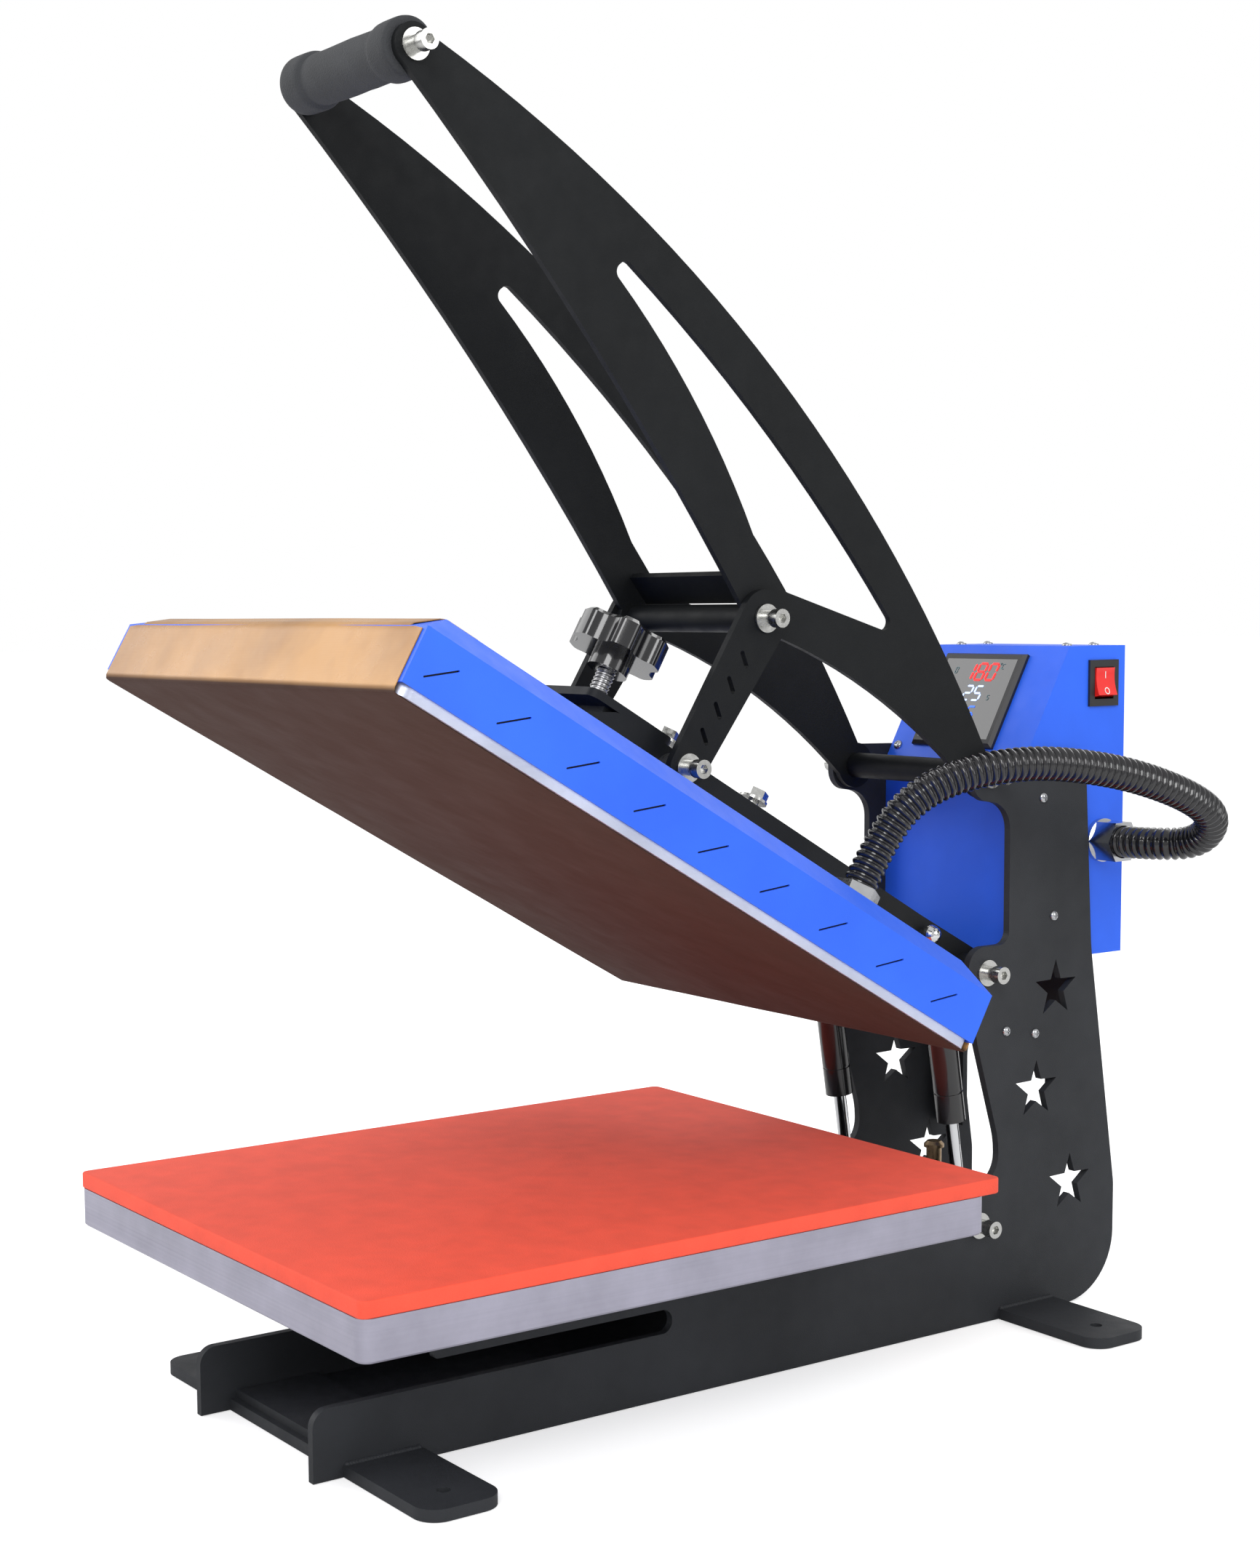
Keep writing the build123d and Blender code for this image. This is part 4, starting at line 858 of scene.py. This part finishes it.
class PRESS_OT_thread(bpy.types.Operator):
    """Pressure screw with its thread cut along the whole shank"""

    bl_idname = "press.thread"
    bl_label = "Pressure screw thread"

    def execute(self, context):
        length = SCREW_TOP_N - SCREW_LOW_N
        turns = int(length / THREAD_PITCH) - 1
        crest, root = SCREW_D / 2, SCREW_D / 2 - THREAD_DEPTH
        flank = THREAD_PITCH / 4
        turn_profile = ((root, 0), (root, flank * 0.6), (crest, flank * 1.9),
                        (crest, flank * 2.5), (root, flank * 3.8), (root, THREAD_PITCH))
        piece = new_piece("thread", [(r, 0, z) for r, z in turn_profile],
                          [(k, k + 1) for k in range(len(turn_profile) - 1)])
        winding = piece.modifiers.new("winding", "SCREW")
        winding.screw_offset = THREAD_PITCH
        winding.iterations = turns
        winding.steps = 40
        winding.render_steps = 40
        winding.use_merge_vertices = True
        winding.merge_threshold = 1e-6
        bpy.ops.object.modifier_apply(modifier="winding")
        wide = root + CORE_FIT
        tip = wide - CORE_CHAMFER
        core = spun("core", [(0.0, 0.0), (tip, 0.0), (wide, THREAD_PITCH / 2),
                             (wide, length - THREAD_PITCH / 2), (tip, length), (0.0, length)], 40)
        bpy.ops.object.mode_set(mode="OBJECT")
        make_active(core)
        piece.select_set(True)
        bpy.ops.object.join()
        put(core, "screw_thread", "knob", FINISHES["steel"],
            seat(on_platen(SCREW_S, SCREW_LOW_N), X_AXIS, UP.cross(X_AXIS), UP), 35)
        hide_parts("pressure_screw")
        return {"FINISHED"}


# Printed marks of the rocker: inner and outer radius, width and length, distance from its middle
MARK_RING = (0.0019, 0.0027)
MARK_LINE = (0.0008, 0.0054)
MARK_RISE = 0.0062
MARK_START = 0.004
PRINT_T = 0.00012


class PRESS_OT_marks(bpy.types.Operator):
    """Line and ring printed on the two ends of the rocker"""

    bl_idname = "press.marks"
    bl_label = "Rocker marks"

    def execute(self, context):
        low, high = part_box("switch_rocker")
        middle = (low + high) / 2
        ring = spun("ring", [(radius, 0) for radius in MARK_RING], 32)
        bpy.ops.mesh.subdivide(number_cuts=1)
        bar = cube("bar", (*MARK_LINE, 0.0))
        bpy.ops.mesh.select_all(action="SELECT")
        bpy.ops.mesh.remove_doubles(threshold=1e-6)
        bpy.ops.mesh.subdivide(number_cuts=4)
        for piece, name, rise in ((ring, "mark_ring", -MARK_RISE), (bar, "mark_line", MARK_RISE)):
            make_active(piece)
            start = Vector((high.x + MARK_START, middle.y, middle.z + rise))
            piece.data.transform(seat(start, Y_AXIS, Z_AXIS, X_AXIS))
            wrap = piece.modifiers.new("wrap", "SHRINKWRAP")
            wrap.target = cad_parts["switch_rocker"]
            wrap.wrap_method = "PROJECT"
            wrap.use_project_x = True
            wrap.use_negative_direction = True
            wrap.use_positive_direction = False
            wrap.offset = PRINT_T
            bpy.ops.object.modifier_apply(modifier="wrap")
            put(piece, name, "rocker", FINISHES["white"])
        return {"FINISHED"}


# Weld beads along the feet
FOOT_YS = (0.082, 0.660)
FOOT_T = 0.008
WELD_L = 0.056
BEAD_STEP = 0.0022
BEAD_R = 0.0024
BEAD_SINK = 0.0003


class PRESS_OT_welds(bpy.types.Operator):
    """Weld beads where the side plates stand on the feet"""

    bl_idname = "press.welds"
    bl_label = "Weld beads"

    def execute(self, context):
        beads = round(WELD_L / BEAD_STEP)
        piece = new_piece("welds")
        bpy.ops.object.mode_set(mode="EDIT")
        for foot_y in FOOT_YS:
            for hand in (1, -1):
                middle = Vector((hand * PLATE_FACE_X, foot_y - DATUM_Y, FOOT_T - BEAD_SINK))
                for k in range(beads):
                    along = (k - (beads - 1) / 2) * BEAD_STEP
                    wobble = noise.noise(Vector((middle.x * 90, along * 300, 0.5))) * BEAD_SINK
                    bpy.ops.mesh.primitive_uv_sphere_add(
                        segments=12, ring_count=8, radius=BEAD_R + wobble,
                        location=middle + Y_AXIS * along)
        put(piece, "weld_beads", "base", FINISHES["frame"])
        return {"FINISHED"}


# Camera fitted to the photograph, in its pixels, degrees and metres
PHOTO_W = 1732
PHOTO_H = 2156
FOCAL_PX = 3281.36
LENS_CENTRE = (760, 1150)
CAMERA_TURN = (55.5, 5.46, 0.43)
CAMERA_SPOT = Vector((1.36947, -1.03825, 0.54807))

LAMPS = (
    ("key_softbox", (2.4, -2.2, 2.6), 1.8, 68),
    ("fill_softbox", (-2.6, -1.6, 1.8), 2.2, 32),
    ("side_softbox", (2.8, 1.2, 1.4), 1.4, 16),
    ("rear_softbox", (-0.8, 2.6, 2.4), 1.6, 20),
)


class PRESS_OT_stage(bpy.types.Operator):
    """Pale floor, soft light and the camera"""

    bl_idname = "press.stage"
    bl_label = "Stage"

    def execute(self, context):
        scene = context.scene
        scene.view_settings.view_transform = "Standard"
        begin()
        bpy.ops.mesh.primitive_plane_add(size=60, location=(0, 0, -0.0005))
        floor = context.object
        floor.name = "floor"
        ground = bpy.data.materials.new("pale_floor")
        ground.use_nodes = True
        tree = ground.node_tree
        shader = tree.nodes["Principled BSDF"]
        shader.inputs["Base Color"].default_value = (0.86, 0.86, 0.86, 1)
        shader.inputs["Roughness"].default_value = 0.9
        shader.inputs["Specular IOR Level"].default_value = 0.1
        path = tree.nodes.new("ShaderNodeLightPath")
        glow = tree.nodes.new("ShaderNodeMath")
        glow.operation = "MULTIPLY"
        glow.inputs[1].default_value = 0.5
        tree.links.new(path.outputs["Is Camera Ray"], glow.inputs[0])
        shader.inputs["Emission Color"].default_value = (1, 1, 1, 1)
        tree.links.new(glow.outputs[0], shader.inputs["Emission Strength"])
        floor.data.materials.append(ground)

        world = bpy.data.worlds.new("studio")
        scene.world = world
        world.use_nodes = True
        tree = world.node_tree
        background = tree.nodes["Background"]
        background.inputs["Color"].default_value = (1, 1, 1, 1)
        path = tree.nodes.new("ShaderNodeLightPath")
        seen = tree.nodes.new("ShaderNodeMath")
        seen.operation = "MAXIMUM"
        tree.links.new(path.outputs["Is Camera Ray"], seen.inputs[0])
        tree.links.new(path.outputs["Is Transmission Ray"], seen.inputs[1])
        bright = tree.nodes.new("ShaderNodeMapRange")
        bright.inputs["To Min"].default_value = 0.66
        bright.inputs["To Max"].default_value = 1.0
        tree.links.new(seen.outputs[0], bright.inputs["Value"])
        tree.links.new(bright.outputs["Result"], background.inputs["Strength"])

        for name, spot, size, power in LAMPS:
            bpy.ops.object.light_add(type="AREA", location=spot)
            lamp = context.object
            lamp.name = name
            lamp.data.size = size
            lamp.data.energy = power
            aim = (Vector((0, 0, 0.4)) - Vector(spot)).to_track_quat("-Z", "Y")
            lamp.rotation_euler = aim.to_euler()

        azimuth, pitch, roll = (math.radians(a) for a in CAMERA_TURN)
        ahead = Vector((-math.sin(azimuth), math.cos(azimuth), 0)) * math.cos(pitch)
        ahead.z = -math.sin(pitch)
        level = Vector((math.cos(azimuth), math.sin(azimuth), 0))
        down = ahead.cross(level)
        right = level * math.cos(roll) + down * math.sin(roll)
        below = down * math.cos(roll) - level * math.sin(roll)
        bpy.ops.object.camera_add()
        camera = context.object
        camera.name = "viewpoint"
        camera.matrix_world = seat(CAMERA_SPOT, right, -below, -ahead)
        camera.data.sensor_fit = "AUTO"
        camera.data.sensor_width = 36
        camera.data.lens = FOCAL_PX * camera.data.sensor_width / PHOTO_H
        camera.data.shift_x = (PHOTO_W / 2 - LENS_CENTRE[0]) / PHOTO_H
        camera.data.shift_y = (LENS_CENTRE[1] - PHOTO_H / 2) / PHOTO_H
        camera.data.clip_start = 0.05
        scene.camera = camera
        return {"FINISHED"}


class PRESS_PT_panel(bpy.types.Panel):
    """Lists the steps that dress the press"""

    bl_label = "Heat Press"
    bl_idname = "PRESS_PT_panel"
    bl_space_type = "VIEW_3D"
    bl_region_type = "UI"
    bl_category = "Heat Press"

    def draw(self, context):
        for name in PressLook.__annotations__:
            self.layout.prop(context.scene.press_look, name)
        for step in STEPS:
            self.layout.operator(step.bl_idname)


STEPS = (
    PRESS_OT_stage,
    PRESS_OT_finishes,
    PRESS_OT_conduit,
    PRESS_OT_pad,
    PRESS_OT_sheet,
    PRESS_OT_grip,
    PRESS_OT_display,
    PRESS_OT_screws,
    PRESS_OT_thread,
    PRESS_OT_marks,
    PRESS_OT_welds,
)
CLASSES = (PressLook, *STEPS, PRESS_PT_panel)


def register():
    for cls in CLASSES:
        bpy.utils.register_class(cls)
    bpy.types.Scene.press_look = bpy.props.PointerProperty(type=PressLook)


def unregister():
    del bpy.types.Scene.press_look
    for cls in reversed(CLASSES):
        bpy.utils.unregister_class(cls)


def main():
    register()
    for step in STEPS:
        group, name = step.bl_idname.split(".")
        getattr(getattr(bpy.ops, group), name)()


if __name__ == "__main__":
    main()
